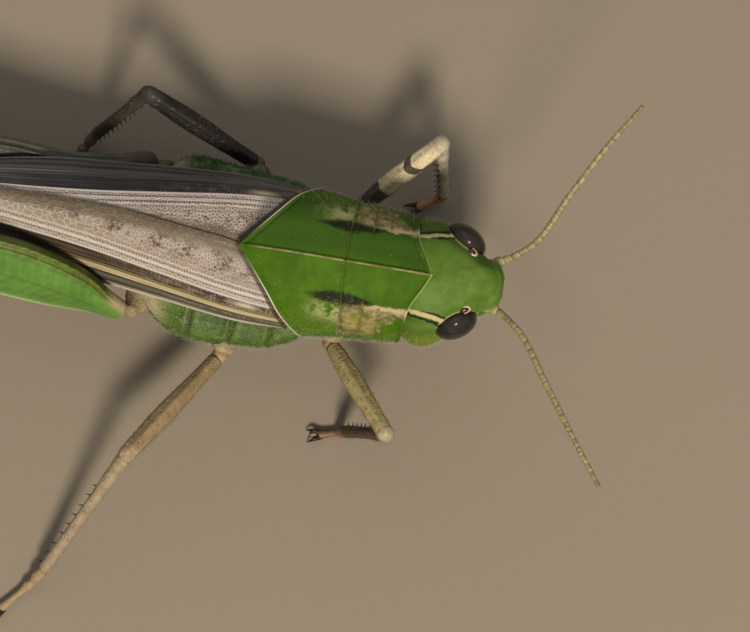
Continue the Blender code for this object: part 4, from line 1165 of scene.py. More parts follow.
# %% Finishes of the head, its eyes and the ocelli
head_skin, paint = finish("head_skin", 0.60, specular=0.10)
paint.dress(paint.use(head_colours)[0], paint.use(pits, paint.place(), 8.0)[0], 0.010)

eye_glass, paint = finish("eye_glass", 0.26, specular=0.05, coat=0.22, coat_rough=0.05)
_, _, up = paint.marks("at_eye")
spot = paint.place()
facet = paint.cells(spot, 22.0, random=0.25)
cloud = paint.clouds(spot, 3.2, 0.42, 0.70)
colour = paint.layers(
    (0.0045, 0.004, 0.0048), ((0.030, 0.021, 0.016), cloud, 0.62),
    ((0.07, 0.062, 0.055), paint.rise(facet, 0.0, 0.5), 0.10),
    ((0.05, 0.038, 0.027), paint.rise(up, 1.0, 1.5), 0.3))
paint.dress(colour, facet, 0.006)

ocellus_bead, paint = finish("ocellus_bead", 0.3, coat=0.6, coat_rough=0.08)
rusty = grained(paint, 9.0, (0.045, 0.007, 0.004), (0.014, 0.003, 0.002))
paint.dress(paint.mix(paint.mark("bead"), (0.40, 0.29, 0.14), rusty))

# %% Finish of the feelers: a pale ring at each joint, greener at the root, rusty at the tip
feeler_skin, paint = finish("feeler_skin", 0.5)
along, joint = paint.mark("along"), paint.mark("joint")
body = grained(paint, 4.0, (0.15, 0.115, 0.050), (0.30, 0.235, 0.110))
ring = paint.most(paint.rise(joint, 0.12, 0.04), paint.rise(joint, 0.93, 0.98))
colour = paint.layers(
    body, ((0.10, 0.07, 0.03), paint.rise(joint, 0.55, 0.10), 0.45),
    ((0.24, 0.27, 0.07), paint.rise(along, 0.14, 0.02), 0.7), ((0.55, 0.47, 0.30), ring, 0.75),
    ((0.20, 0.10, 0.045), paint.rise(along, 0.90, 0.98), 0.7))
paint.dress(colour, paint.noise(paint.place(), 14.0, 3.0), 0.012)

# %% Finish of the mouthparts: greenish above, tan and then brown towards the tips
mouth_skin, paint = finish("mouth_skin", 0.4, coat=0.1, coat_rough=0.3)
x, _, z = paint.node("SeparateXYZ", paint.place()).outputs
tan = grained(paint, 3.0, (0.22, 0.19, 0.07), (0.40, 0.36, 0.16))
front = paint.rise(x, 22.9, 23.3)
colour = paint.layers(
    tan, ((0.14, 0.20, 0.035), paint.rise(z, 2.9, 3.5), 0.8),
    ((0.17, 0.10, 0.045), paint.rise(z, 3.1, 2.6), 0.75),
    ((0.16, 0.085, 0.035), paint.rise(z, 2.6, 1.7), 0.55),
    ((0.05, 0.045, 0.015), paint.peak(z, 3.32, 0.07), front, 0.85))
paint.dress(colour, paint.use(pits, paint.place(), 6.0)[0], 0.015)

# %% [markdown]
# The saddle is bright green with a tan keel.  Outside two black streaks lie mottled cream patches,
# and in front of the main groove a buff band; the grooves are brown threads and the rims are pale.

# %% Colours of the saddle, shared by the skin and its hairs
paint, given, result = group("saddle colours", {}, {"Colour": "colour"})
s, y, out = paint.marks("at_saddle")
spot = paint.place()
side = paint.calc("ABSOLUTE", y)
ragged = paint.noise(spot, 1.6, 4.0, 0.65)
wander = paint.line(ragged, 0.9, -0.45)
green = grained(paint, 0.7, (0.034, 0.078, 0.003), (0.052, 0.110, 0.004))
below = paint.rise(side, 2.7, 3.3)
streak_width = paint.line(paint.peak(s, 7.9, 1.9), 0.19, 0.06)
from_streak = paint.calc("SUBTRACT", paint.line(wander, 0.35, side), 1.80)
widths_away = paint.calc("DIVIDE", paint.calc("ABSOLUTE", from_streak), streak_width)
streak = paint.times(paint.rise(widths_away, 1.7, 0.7), paint.rise(s, 5.9, 6.6), paint.rise(s, 9.9, 8.9))
inside = paint.rise(out, 0.66, 0.54)
cream = paint.times(inside, paint.peak(side, 2.45, 0.75), paint.rise(s, 7.6, 7.85),
                    paint.rise(s, 10.2, 8.0))
low_edge = paint.calc("SUBTRACT", paint.line(wander, 1.5, side), paint.rise(s, 4.9, 6.4))
band = paint.times(paint.rise(paint.line(wander, 0.7, side), 1.72, 2.0),
                   paint.rise(s, 7.95, 7.75), inside, paint.rise(s, 4.2, 5.0),
                   paint.rise(low_edge, 2.4, 2.15))
speck = paint.clouds(spot, 3.4, 0.50, 0.62, 4.0, 0.7)
tint = grained(paint, 2.6, (0.30, 0.235, 0.105), (0.115, 0.080, 0.038))
on_right = paint.rise(y, 0.5, -0.5)
yellow = paint.times(inside, paint.peak(s, 6.7, 1.7), paint.peak(side, 2.85, 0.75), on_right)
margin = paint.times(paint.peak(paint.line(wander, 0.5, side), 1.98, 0.22),
                     paint.rise(s, 6.9, 5.9))
thread = paint.times(inside, paint.peak(s, 6.9, 0.75), paint.peak(side, 3.12, 0.10), on_right)
leaf_mix = paint.times(paint.clouds(spot, 1.0, 0.44, 0.60), 0.85)
threads = paint.times(paint.mark("groove"), paint.rise(out, 1.02, 0.98))
keel = paint.times(paint.peak(y, 0.0, 0.053), paint.rise(s, 12.9, 12.0))
keel_tan = grained(paint, 2.2, (0.32, 0.225, 0.130), (0.150, 0.098, 0.050))
rim, front_rim = paint.mark("rim"), paint.mark("front_rim")
glint = paint.use(pits, spot, 4.2)[1]
# The darker green on the animal's left half is painted shade.
colour = paint.layers(
    green, ((0.031, 0.068, 0.008), paint.rise(y, 0.0, 0.6), 0.7), ((0.085, 0.135, 0.010), below, 0.5),
    (LIME, paint.rise(side, 3.2, 3.45), paint.rise(out, 0.75, 1.0), 0.6),
    ((0.34, 0.32, 0.13), cream, paint.rise(ragged, 0.35, 0.62), 0.95),
    (tint, paint.use(ragged_edge, band, spot, 2.0, 0.9)[0], 0.92),
    ((0.075, 0.115, 0.012), band, leaf_mix),
    ((0.25, 0.20, 0.055), paint.use(ragged_edge, yellow, spot, 1.6, 1.0)[0], 0.55),
    (UMBER, band, speck, 0.62), ((0.42, 0.32, 0.18), margin, 0.75), (UMBER, thread, 0.8),
    (BLACK, streak, paint.clouds(spot, 6.0, 0.26, 0.50, 4.0, 0.7), 0.95),
    ((0.085, 0.070, 0.016), paint.rise(threads, 0.40, 1.0), 0.5), (keel_tan, keel, 0.9),
    ((0.26, 0.31, 0.12), glint, 0.5),
    ((0.44, 0.43, 0.24), paint.rise(front_rim, 0.65, 0.98), paint.rise(side, 2.5, 2.0), 0.65),
    ((0.52, 0.46, 0.32), paint.rise(rim, 0.74, 0.98), paint.rise(side, 0.3, 2.2), 0.9))
saddle_colours = paint.give(result, colour)

# %% Finish of the saddle
saddle_skin, paint = finish("saddle_skin", 0.65, specular=0.06)
s, y, _ = paint.marks("at_saddle")
behind = paint.line(paint.rise(s, 7.6, 8.4), 0.7, 0.3)
mottled = paint.times(paint.peak(paint.calc("ABSOLUTE", y), 2.4, 0.8), 0.9)
pitted = paint.times(paint.use(pits, paint.place(), 7.5)[0], paint.most(behind, mottled))
paint.dress(paint.use(saddle_colours)[0], pitted, 0.014)

# %% [markdown]
# A forewing is a buff sheet under a net of pale veins.  Near the fold the cells stand in even rows,
# close to the saddle they are fine and mottled, and far back they are large.  The side field carries
# long stripes; on the animal's left side it is painted nearly black for the shade there, with grey
# streaks painted for a reflection of the sky.

# %% The net of small veins
paint, given, result = group("vein net", {"Along": "number", "Across": "number", "Random": "number"},
                             {"Line": "number", "Cell": "number", "Tone": "number", "Thread": "number"})
flat = paint.node("CombineXYZ", given[0], given[1]).outputs[0]
sockets = {"Vector": flat, "Scale": 1.0, "Randomness": given[2]}
gap = paint.node("TexVoronoi", named=sockets, voronoi_dimensions="2D",
                 feature="DISTANCE_TO_EDGE").outputs["Distance"]
tone = paint.node("TexVoronoi", named=sockets, voronoi_dimensions="2D").outputs["Color"]
vein_net = paint.give(result, paint.rise(gap, 0.24, 0.07), paint.rise(gap, 0.18, 0.40),
                      paint.node("SeparateColor", tone).outputs[0], paint.rise(gap, 0.15, 0.04))

# %% Finishes of the two forewings
# The left wing's tones are painted paler than the right's: painted light, to make up for the weaker light
# on that side.
WING_TONES = {  # veins, the sheet between them
    "right": ((0.385, 0.325, 0.272), (0.250, 0.190, 0.137)),
    "left": ((0.56, 0.485, 0.41), (0.315, 0.240, 0.175))}
CELL = (0.150, 0.096, 0.053)
LONG_VEINS = [  # distance from the fold, half width, strength
    (0.03, 0.09, 0.9), (0.36, 0.09, 0.9), (0.62, 0.04, 0.4), (1.05, 0.04, 0.3)]
SADDLE_SHADE = {"right": (0.28, 0.16), "left": (0.50, 0.32)}  # where the shade behind it ends, in mm
SIDE_FIELD = {  # share down to where it reaches, colour
    "right": [(0.27, (0.045, 0.029, 0.017)), (0.35, (0.150, 0.108, 0.048)), (0.48, (0.42, 0.335, 0.18)),
              (0.54, (0.020, 0.015, 0.011)), (0.74, (0.080, 0.069, 0.050)), (0.82, (0.028, 0.020, 0.014)),
              (0.92, (0.190, 0.140, 0.098)), (1.10, (0.46, 0.395, 0.32))],
    # On the left the side field is painted nearly black for shade, and its grey streaks are a painted
    # reflection of the sky.
    "left": [(0.36, (0.022, 0.019, 0.019)), (0.42, (0.050, 0.046, 0.045)), (0.62, (0.072, 0.067, 0.065)),
             (0.74, (0.020, 0.017, 0.015)), (0.82, (0.075, 0.066, 0.059)), (0.95, (0.030, 0.025, 0.022)),
             (1.10, (0.12, 0.105, 0.09))]}
SIDE_RELIEF = {  # colour of the pale grooves there, strength of the ladder of veins
    # The grey grooves on the left are a painted reflection of the sky.
    "right": ((0.26, 0.195, 0.125), 0.55), "left": ((0.115, 0.108, 0.106), 0.30)}


def tegmen_finish(name):
    """Top: a veined sheet with patches, pale long veins and a dark seam.  Side: stripes whose edges
    wander with the grooves, then pale and dark grooves, a ladder of veins, and a speckled rear."""
    made, paint = finish(name + "_tegmen_skin", 0.50, coat=0.05, coat_rough=0.35)
    s, b, field = paint.marks("at_wing")
    spot = paint.place()
    upper = paint.rise(b, -0.06, 0.0)
    down = paint.calc("MULTIPLY", b, -0.1)
    wave = paint.line(paint.noise(spot, 0.9, 2.0), 0.5, b)
    even = paint.use(vein_net, paint.calc("DIVIDE", s, 0.145), paint.calc("DIVIDE", b, 0.235), 0.38)
    fine = paint.use(vein_net, paint.calc("DIVIDE", s, 0.165), paint.calc("DIVIDE", b, 0.165), 1.0)
    large = paint.use(vein_net, paint.calc("DIVIDE", s, 0.40), paint.calc("DIVIDE", b, 0.30), 1.0)
    is_large = paint.times(paint.rise(s, 17.0, 21.0), paint.rise(wave, 0.60, 1.1))
    is_fine = paint.rise(wave, 0.80, 1.2)
    vein, membrane = WING_TONES[name]

    def blended(index, far, shares):
        """One output of the three nets, each with its own strength, blended by where they lie."""
        near = paint.between(is_fine, paint.times(even[index], shares[0]),
                             paint.times(fine[index], shares[1]))
        return paint.between(is_large, near, paint.times(large[far], shares[2]))

    line = blended(0, 3, (0.8, 0.65, 0.6))
    cell = blended(1, 1, (0.95, 0.75, 0.10))
    tone = paint.rise(fine[2], 0.25, 0.75)
    dark_cells = paint.times(cell, paint.line(tone, 0.35, 0.65))
    patches = paint.clouds(spot, 1.3, 0.47, 0.58, 5.0, 0.72)
    middle = paint.times(paint.rise(wave, 0.95, 1.6), paint.rise(s, 10.5, 12.0),
                         paint.rise(s, 27.0, 19.0))
    seam = paint.times(paint.rise(field, 0.40, 0.14), upper, paint.rise(s, 11.0, 13.0),
                       paint.rise(s, 30.0, 24.0))
    mottle = paint.clouds(spot, 4.5, 0.46, 0.56, 4.0, 0.7)
    top = paint.layers(
        grained(paint, 0.55, membrane, (0.205, 0.153, 0.108)),
        ((0.205, 0.158, 0.100), is_large, 0.85), ((0.135, 0.080, 0.043), middle, patches, 0.8),
        (CELL, dark_cells, 0.92), (vein, line, paint.line(patches, -0.35, 1.0)),
        ((0.040, 0.019, 0.009), middle, patches, mottle, 0.9),
        ((0.060, 0.036, 0.020), paint.peak(b, 0.19, 0.13), even[1], 0.9),
        ((0.090, 0.064, 0.034), seam, 0.9), ((0.19, 0.14, 0.085), seam, mottle, 0.45))
    for place, width, share in LONG_VEINS:
        top = paint.mix(paint.times(paint.peak(b, place, width), share), top, (0.44, 0.38, 0.33))
    grooves = paint.node("CombineXYZ", paint.times(s, 0.22), paint.times(down, 26.0)).outputs[0]
    streaks = paint.noise(grooves, 1.0, 3.0, 0.6)
    ragged = paint.line(streaks, 0.07, paint.calc("SUBTRACT", down, 0.035))
    stripes = SIDE_FIELD[name]
    low = stripes[0][1]
    for (edge, _), (_, tint) in zip(stripes, stripes[1:]):
        low = paint.mix(paint.rise(ragged, edge - 0.012, edge + 0.012), low, tint)
    ladder = paint.use(vein_net, paint.calc("DIVIDE", s, 0.22), paint.times(down, 16.0), 0.7)[0]
    rungs = paint.times(ladder, paint.rise(s, 21.0, 14.0),
                        paint.most(paint.rise(down, 0.34, 0.26), paint.peak(down, 0.65, 0.12)),
                        paint.clouds(spot, 2.2, 0.42, 0.60, 2.0, 0.5))
    rear = paint.layers(
        (0.29, 0.225, 0.15), ((0.10, 0.066, 0.040), paint.clouds(spot, 0.9, 0.50, 0.58)),
        ((0.40, 0.335, 0.25), ladder, 0.35))
    groove_pale, rung_share = SIDE_RELIEF[name]
    low = paint.layers(
        low, (groove_pale, paint.rise(streaks, 0.50, 0.66), 0.45),
        ((0.03, 0.022, 0.016), paint.rise(streaks, 0.46, 0.34), 0.5),
        ((0.36, 0.29, 0.20), rungs, rung_share), (rear, paint.rise(s, 24.0, 32.0), 0.8),
        ((0.52, 0.44, 0.29), paint.peak(s, 12.5, 1.1), paint.peak(down, 0.13, 0.14), 0.9))
    shade = paint.rise(paint.mark("from_saddle"), *SADDLE_SHADE[name])
    colour = paint.layers(paint.mix(upper, low, top), ((0.040, 0.022, 0.012), shade, 0.93))
    bumps = paint.calc("ADD", line, paint.times(patches, 0.2))
    paint.dress(colour, paint.between(upper, streaks, bumps), 0.028)
    return made


tegmen_skins = {name: tegmen_finish(name) for name in SIDES}

# %% Finish of the folded hindwings: a clear yellowish film over brown veins
hindwing_film, paint = finish("hindwing_film", 0.35)
x, _, z = paint.node("SeparateXYZ", paint.place()).outputs
net = paint.use(vein_net, paint.times(x, 1.3), paint.times(z, 3.0), 0.6)
film = grained(paint, 0.5, (0.44, 0.41, 0.26), (0.34, 0.31, 0.20))
paint.dress(paint.mix(paint.times(net[0], 0.8), film, (0.13, 0.09, 0.05)))
for name in SIDES:
    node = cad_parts[name + "_hindwing"]
    node.data.materials.clear()
    node.data.materials.append(hindwing_film)

# %% [markdown]
# The chest is green and paler towards the belly, with dark seams between its plates.  The abdomen is
# yellow-green, brown along the back, with a pale thread at the rear rim of each ring.

# %% Colours of the chest, shared by the skin and its hairs
paint, given, result = group("chest colours", {}, {"Colour": "colour"})
s, y, z = paint.marks("at_chest")
spot = paint.place()
green = grained(paint, 0.9, (0.036, 0.070, 0.008), (0.070, 0.115, 0.013))
pale = paint.clouds(spot, 1.9, 0.52, 0.66)
# The darker green towards the animal's left side is painted shade.
colour = paint.layers(
    green, ((0.022, 0.046, 0.012), paint.rise(y, 1.0, 3.4), 0.75), ((0.19, 0.20, 0.06), pale, 0.4),
    ((0.34, 0.30, 0.12), paint.rise(z, 3.9, 2.9), 0.8),
    ((0.24, 0.19, 0.09), paint.rise(z, 6.2, 6.9), 0.85),
    ((0.38, 0.31, 0.17), paint.rise(s, 16.2, 17.4), paint.rise(z, 4.4, 5.2), 0.8),
    ((0.035, 0.045, 0.012), paint.rise(paint.mark("seam"), 0.35, 0.9), 0.75))
chest_colours = paint.give(result, colour)

# %% Finishes of the chest, the abdomen and its end
chest_skin, paint = finish("chest_skin", 0.50, specular=0.14, coat=0.04, coat_rough=0.35)
paint.dress(paint.use(chest_colours)[0], paint.use(pits, paint.place(), 4.5)[0], 0.03)

abdomen_skin, paint = finish("abdomen_skin", 0.40, coat=0.12, coat_rough=0.3)
share, upper, pore = paint.mark("ring"), paint.mark("upper"), paint.mark("pore")
spot = paint.place()
side = grained(paint, 1.0, (0.19, 0.22, 0.055), (0.36, 0.33, 0.13))
dots = paint.times(paint.rise(paint.cells(spot, 1.5), 0.22, 0.10), paint.rise(upper, -0.4, 0.2))
colour = paint.layers(
    side, ((0.20, 0.14, 0.07), paint.rise(upper, 0.15, 0.7), 0.85),
    ((0.46, 0.42, 0.22), paint.rise(upper, -0.35, -0.8), 0.7),
    ((0.07, 0.05, 0.025), paint.rise(share, 0.24, 0.05), 0.65),
    ((0.55, 0.50, 0.30), paint.peak(share, 0.93, 0.07), 0.6), (UMBER, dots, 0.6),
    ((0.05, 0.03, 0.015), pore, 0.85))
paint.dress(colour, paint.use(pits, spot, 3.5)[0], 0.035)

valve_horn, paint = finish("valve_horn", 0.3, coat=0.4, coat_rough=0.15)
horn = grained(paint, 2.0, (0.23, 0.16, 0.065), (0.36, 0.29, 0.13))
colour = paint.mix(paint.rise(paint.mark("dark"), 0.45, 0.95), horn, (0.018, 0.010, 0.007))
paint.dress(colour, paint.noise(paint.place(), 4.0, 3.0), 0.02)

cercus_skin, paint = finish("cercus_skin", 0.45)
brown = grained(paint, 3.0, (0.24, 0.17, 0.08), (0.40, 0.33, 0.17))
paint.dress(brown, paint.noise(paint.place(), 6.0, 3.0), 0.02)

# %% [markdown]
# On the left the legs are dark, painted shade for the side away from the light; on the right they are
# olive and beige.  A leg's finish is made from four colours, for the coxa, femur, knee and tibia, and
# from the dark bands round its femur; the wide band at the root of the left fore femur is a painted
# shadow of the head.

# %% Finishes of the small legs and the hind shins
LEG_TONES = {  # coxa, femur, knee, tibia, foot, femur bands as (share along, half width)
    # Left fore leg: the wide band at the femur's root is a painted shadow of the head.
    "left_fore": [(0.10, 0.12, 0.04), (0.60, 0.50, 0.29), (0.42, 0.36, 0.24), (0.40, 0.36, 0.25),
                  (0.26, 0.115, 0.048), [(0.06, 0.29), (0.66, 0.06)]],
    "right_fore": [(0.30, 0.21, 0.11), (0.32, 0.25, 0.11), (0.38, 0.31, 0.18), (0.075, 0.048, 0.030),
                   (0.12, 0.060, 0.034), []],
    # Left middle leg: nearly black, painted shade.
    "left_mid": [(0.08, 0.08, 0.035), (0.016, 0.012, 0.010), (0.055, 0.044, 0.035), (0.055, 0.042, 0.031),
                 (0.085, 0.050, 0.034), []],
    "right_mid": [(0.34, 0.25, 0.14), (0.235, 0.165, 0.080), (0.36, 0.27, 0.16), (0.31, 0.235, 0.145),
                  (0.24, 0.165, 0.080), []],
    # Left hind leg: darker than the right one, painted shade.
    "left_hind": [(0.10, 0.080, 0.055), (0.2, 0.2, 0.1), (0.20, 0.155, 0.095), (0.27, 0.21, 0.135),
                  (0.20, 0.125, 0.070), []],
    "right_hind": [(0.30, 0.22, 0.12), (0.2, 0.2, 0.1), (0.30, 0.235, 0.14), (0.34, 0.26, 0.16),
                   (0.22, 0.14, 0.080), []]}
LEG_LIE = {  # where the hairs of each leg lean
    "left_fore": (0.2, 0.3, -0.9), "right_fore": (0.2, -0.3, -0.9), "left_mid": (0.6, 0.4, -0.6),
    "right_mid": (0.4, -0.7, -0.6), "left_hind": (-0.9, 0.0, -0.4), "right_hind": (-0.9, 0.0, -0.4)}
HORN = (0.020, 0.011, 0.008)


def leg_finish(name):
    """Coxa, then femur and tibia where their marks are above 0; bands, knee, clouds, specks, foot
    and horny thorns over them."""
    coxa, femur, knee, tibia, foot, bands = LEG_TONES[name]
    dark_from, dark_by = (0.35, 0.62) if name.endswith("hind") else (0.06, 0.30)
    made, paint = finish(name + "_leg_skin", 0.48, specular=0.2, coat=0.04, coat_rough=0.3)
    spot = paint.place()
    cloud = paint.clouds(spot, 1.7, 0.36, 0.68)
    thigh, shin, spine = paint.mark("thigh"), paint.mark("shin"), paint.mark("spine")
    on_thigh, on_shin = (paint.calc("GREATER_THAN", mark, 0.0005) for mark in (thigh, shin))
    colour = paint.layers(coxa, (femur, on_thigh), (tibia, on_shin))
    # The wide band at the root of the left fore femur is a painted shadow of the head.
    for place, width in bands:
        along = thigh
        if place > 0.5:  # a band near the knee runs aslant
            along = paint.line(paint.mark("thigh_side"), 0.07, thigh)
        ring = paint.times(paint.peak(along, place, width), 2.0, on_thigh)
        band = paint.use(ragged_edge, ring, spot, 1.4, 0.5)[0]
        colour = paint.layers(colour, ((0.026, 0.020, 0.015), band, 0.92))
    ends = paint.most(paint.times(paint.rise(thigh, 0.84, 0.94), on_thigh),
                      paint.times(paint.rise(shin, 0.10, 0.02), on_shin))
    colour = paint.layers(colour, (knee, ends, 0.85))
    darker = paint.mix(0.45, colour, (0.30, 0.24, 0.17), blend="MULTIPLY")
    colour = paint.mix(paint.times(cloud, 0.8), darker, colour)
    specks = paint.times(paint.rise(paint.cells(spot, 3.2), 0.15, 0.06), paint.rise(cloud, 0.7, 0.3))
    colour = paint.layers(
        colour, (UMBER, specks, 0.6), (foot, paint.rise(shin, 0.94, 1.0), 0.6),
        (foot, paint.mark("tarsal"), 0.9), ((0.24, 0.20, 0.15), paint.mark("pad"), 0.5),
        ((0.40, 0.33, 0.21), paint.rise(spine, 0.03, 0.05)),
        (HORN, paint.rise(spine, dark_from, dark_by)))
    paint.dress(colour, paint.use(pits, spot, 4.5)[0], 0.03)
    return made


leg_skins = {name: leg_finish(name) for name in LEG_TONES}

# %% [markdown]
# On a hind thigh the marks say how far along it a place lies and which face it is on: 0 the outer
# face, 1 the upper edge, -1 the lower edge and 2 the inner face.

# %% Finishes of the hind thighs
THIGH_TONES = {  # outer face dark and light, upper strip, lower strip, base, bones, inner face
    "right": [(0.062, 0.135, 0.018), (0.092, 0.185, 0.028), (0.080, 0.105, 0.012), (0.100, 0.110, 0.022),
              (0.33, 0.25, 0.13), (0.14, 0.26, 0.04), (0.33, 0.27, 0.12)],
    # On the left the thigh's tones are darker and greyer than on the right: painted shade.
    "left": [(0.054, 0.054, 0.032), (0.088, 0.082, 0.052), (0.056, 0.050, 0.035), (0.10, 0.085, 0.050),
             (0.060, 0.045, 0.034), (0.13, 0.13, 0.07), (0.105, 0.090, 0.062)]}


def thigh_finish(name):
    """Outer face, then its strips above and below, the inner face, and what lies across them all."""
    dark, light, upper, lower, root, bone, pale = THIGH_TONES[name]
    made, paint = finish(name + "_thigh_skin", 0.50, coat=0.06, coat_rough=0.25)
    t, face, _ = paint.marks("at_thigh")
    spot = paint.place()
    outer = paint.calc("ABSOLUTE", face)
    high, low = (place / 90 for place in OUTER_FIELD[name])
    body = grained(paint, 0.6, dark, light)
    dots = paint.times(paint.rise(paint.cells(spot, 2.6), 0.16, 0.07), paint.peak(face, 0.85, 0.22))
    blots = paint.clouds(spot, 1.5, 0.46, 0.58)
    base, knee = paint.rise(t, 0.085, 0.045), paint.rise(t, 0.885, 0.93)
    if name == "right":  # there only the upper part of the base is brown
        base = paint.times(base, paint.rise(face, 0.5, 1.0))
    ring = paint.peak(t, 0.85, 0.035)
    near_hip = paint.use(ragged_edge, paint.rise(t, 0.62, 0.50), spot, 0.8, 0.5)[0]
    inner = paint.mix(near_hip, pale, (0.018, 0.018, 0.026))
    colour = paint.layers(
        body, (bone, paint.mark("bones"), 0.16),
        ((0.02, 0.09, 0.01), paint.peak(face, (high + low) / 2, 0.06), 0.35),
        (upper, paint.rise(face, high - 0.03, high + 0.05)),
        (lower, paint.rise(face, low, low - 0.06)),
        ((0.045, 0.036, 0.012), blots, paint.rise(face, high - 0.11, high + 0.03), 0.45),
        ((0.045, 0.036, 0.012), blots, paint.rise(face, low - 0.1, low - 0.2), 0.45),
        ((0.36, 0.33, 0.18), dots, 0.3),
        # A dark line just under the lower keel: painted shadow of the keel.
        ((0.022, 0.035, 0.006), paint.peak(face, low - 0.08, 0.07), 0.7),
        ((0.40, 0.42, 0.22), paint.peak(face, low, 0.045), 0.75),
        (inner, paint.rise(outer, 1.30, 1.48)), ((0.42, 0.36, 0.18), ring, 0.45),
        ((0.20, 0.145, 0.075), knee, 0.9), (UMBER, paint.peak(t, 0.955, 0.018), 0.7),
        (root, base, 0.9), (root, paint.rise(t, 0.02, 0.01), 0.6))
    paint.dress(colour, paint.use(pits, spot, 3.0)[0], 0.02)
    return made


thigh_skins = {name: thigh_finish(name) for name in SIDES}
print("finishes:", len(bpy.data.materials))

# %% [markdown]
# ## Laying the skins over the solids
# Every skin stands for the solids it covers.  The two hindwings need none: folded inside the
# forewings, they stay as they are.

# %% Head, saddle, chest, abdomen and wings
head = head_form()
saddle = pronotum_form()
chest = thorax_form()
piece("head_capsule", head, head_skin, "head", "head")
for name, side in SIDES.items():
    piece(name + "_eye_globe", eye_form(side), eye_glass, "eye", name + "_eye")
    piece(name + "_feeler", antenna_form(name), feeler_skin, "antenna", name + "_antenna")
piece("ocelli", joined([ocellus_form(*where) for where in OCELLI]), ocellus_bead, "eye")
piece("mouthparts", mouth_form(), mouth_skin, "mouthparts", "labrum", "labium", "left_mandible",
      "right_mandible", "left_maxilla", "right_maxilla")
piece("saddle", saddle, saddle_skin, "pronotum", "pronotum")
piece("chest", chest, chest_skin, "thorax", "thorax")
piece("abdomen_rings", abdomen_form(), abdomen_skin, "abdomen", "abdomen")
valves, cerci = tail_forms()
piece("digging_valves", valves, valve_horn, "abdomen", "ovipositor")
piece("cerci", cerci, cercus_skin, "abdomen", "left_cercus", "right_cercus")
for name, side in SIDES.items():
    piece(name + "_tegmen", wing_form(side), tegmen_skins[name], "forewing", name + "_forewing")

# %% Legs
legs = {name: small_leg_form(name) for name in LEGS}
for name, made in legs.items():
    piece(name + "_leg", made, leg_skins[name], "legs",
          *(f"{name}_{part}" for part in ("coxa", "femur", "tibia", "tarsus")))
for name in SIDES:
    legs[name + "_hind"] = hind_shin_form(name)
    piece(name + "_thigh", hind_femur_form(name), thigh_skins[name], "hind_femur", name + "_hind_femur")
    piece(name + "_shin", legs[name + "_hind"], leg_skins[name + "_hind"], "legs",
          name + "_hind_tibia", name + "_hind_tarsus")
    piece(name + "_hind_hip", hind_coxa_form(name), leg_skins[name + "_hind"], "legs",
          name + "_hind_coxa")

# %% [markdown]
# ## Hairs
# Fine whitish hairs stand on the chest, the saddle's sides, the cheeks and the legs.  Each is a bent
# cone of nine faces rooted on its skin, and its OFBake place is a small patch at its root's place on
# that skin's own chart, so that a hair carries the markings of the skin below it.

# %% Growing hairs from a form
HAIR_PATCH = 0.0015  # radius of a hair's place on its chart
HAIR_SUNK = 0.02  # how deep its root stands in the skin, in mm
TILE_RIM = 0.02  # share of a tile of the chart left free on each side
TRIANGLE = np.array([(1.0, 0.0), (-0.5, 0.866), (-0.5, -0.866)])


def hairs(made, count, density, length, radius, stand, lie, seed, tile=(0, 0, 1)):
    """count cones on a form's four-sided faces, spread by area times density(points, normals, marks).
    A hair starts along stand * normal + (1 - stand) * lie and its tip bends further towards lie."""
    rng = np.random.default_rng(seed)
    corners = made["points"][made["quads"]]
    normal = np.cross(corners[:, 2] - corners[:, 0], corners[:, 3] - corners[:, 1])
    area = np.linalg.norm(normal, axis=1)
    normal = unit(normal)
    marks = {key: value[made["quads"]].mean(1) for key, value in made["marks"].items()}
    weight = area * density(corners.mean(1), normal, marks)
    pick = rng.choice(len(area), count, p=weight / weight.sum())
    u, v = rng.random((2, count, 1))
    shares = np.stack([(1 - u) * (1 - v), u * (1 - v), u * v, (1 - u) * v], 1)
    root = (corners[pick] * shares).sum(1)
    chart = (made["chart4"][pick] * shares).sum(1)
    normal = normal[pick]
    lie = np.broadcast_to(np.array(lie, float), root.shape)
    lie = unit(lie - normal * np.sum(lie * normal, 1, keepdims=True) + rng.normal(0, 0.28, root.shape))
    up = np.clip(stand + rng.normal(0, 0.12, (count, 1)), 0.12, 1.0)
    first = unit(normal * up + lie * (1 - up))
    second = unit(first + lie * 0.55)
    long = length * (0.55 + 0.75 * rng.random((count, 1))) * 0.5
    side = unit(np.cross(first, normal + 0.01 + rng.normal(0, 0.05, root.shape)))
    over = np.cross(side, first)
    ring = side[:, None] * TRIANGLE[:, :1] + over[:, None] * TRIANGLE[:, 1:]
    thick = radius * (0.7 + 0.6 * rng.random((count, 1, 1)))
    middle = root + first * long
    points = np.concatenate([(root - normal * HAIR_SUNK)[:, None] + ring * thick,
                             middle[:, None] + ring * thick * 0.7,
                             (middle + second * long)[:, None]], 1)
    base = 7 * np.arange(count)[:, None, None]
    quads = np.array([(0, 1, 4, 3), (1, 2, 5, 4), (2, 0, 3, 5)])
    tris = np.array([(3, 4, 6), (4, 5, 6), (5, 3, 6)])
    column, row, grid = tile
    place = (np.array((column, row)) + TILE_RIM + (1 - 2 * TILE_RIM) * chart) / grid
    patch = np.concatenate([TRIANGLE * HAIR_PATCH, TRIANGLE * HAIR_PATCH * 0.6, np.zeros((1, 2))])
    patches = place[:, None] + patch
    carried = {key: np.repeat(value[pick], 7, 0) for key, value in marks.items()}
    return dict(points=points.reshape(-1, 3), quads=(quads + base).reshape(-1, 4),
                tris=(tris + base).reshape(-1, 3), chart4=patches[:, quads].reshape(-1, 4, 2),
                chart3=patches[:, tris].reshape(-1, 3, 2),
                marks=dict(carried, tip=np.tile([0, 0, 0, 0.5, 0.5, 0.5, 1.0], count)))


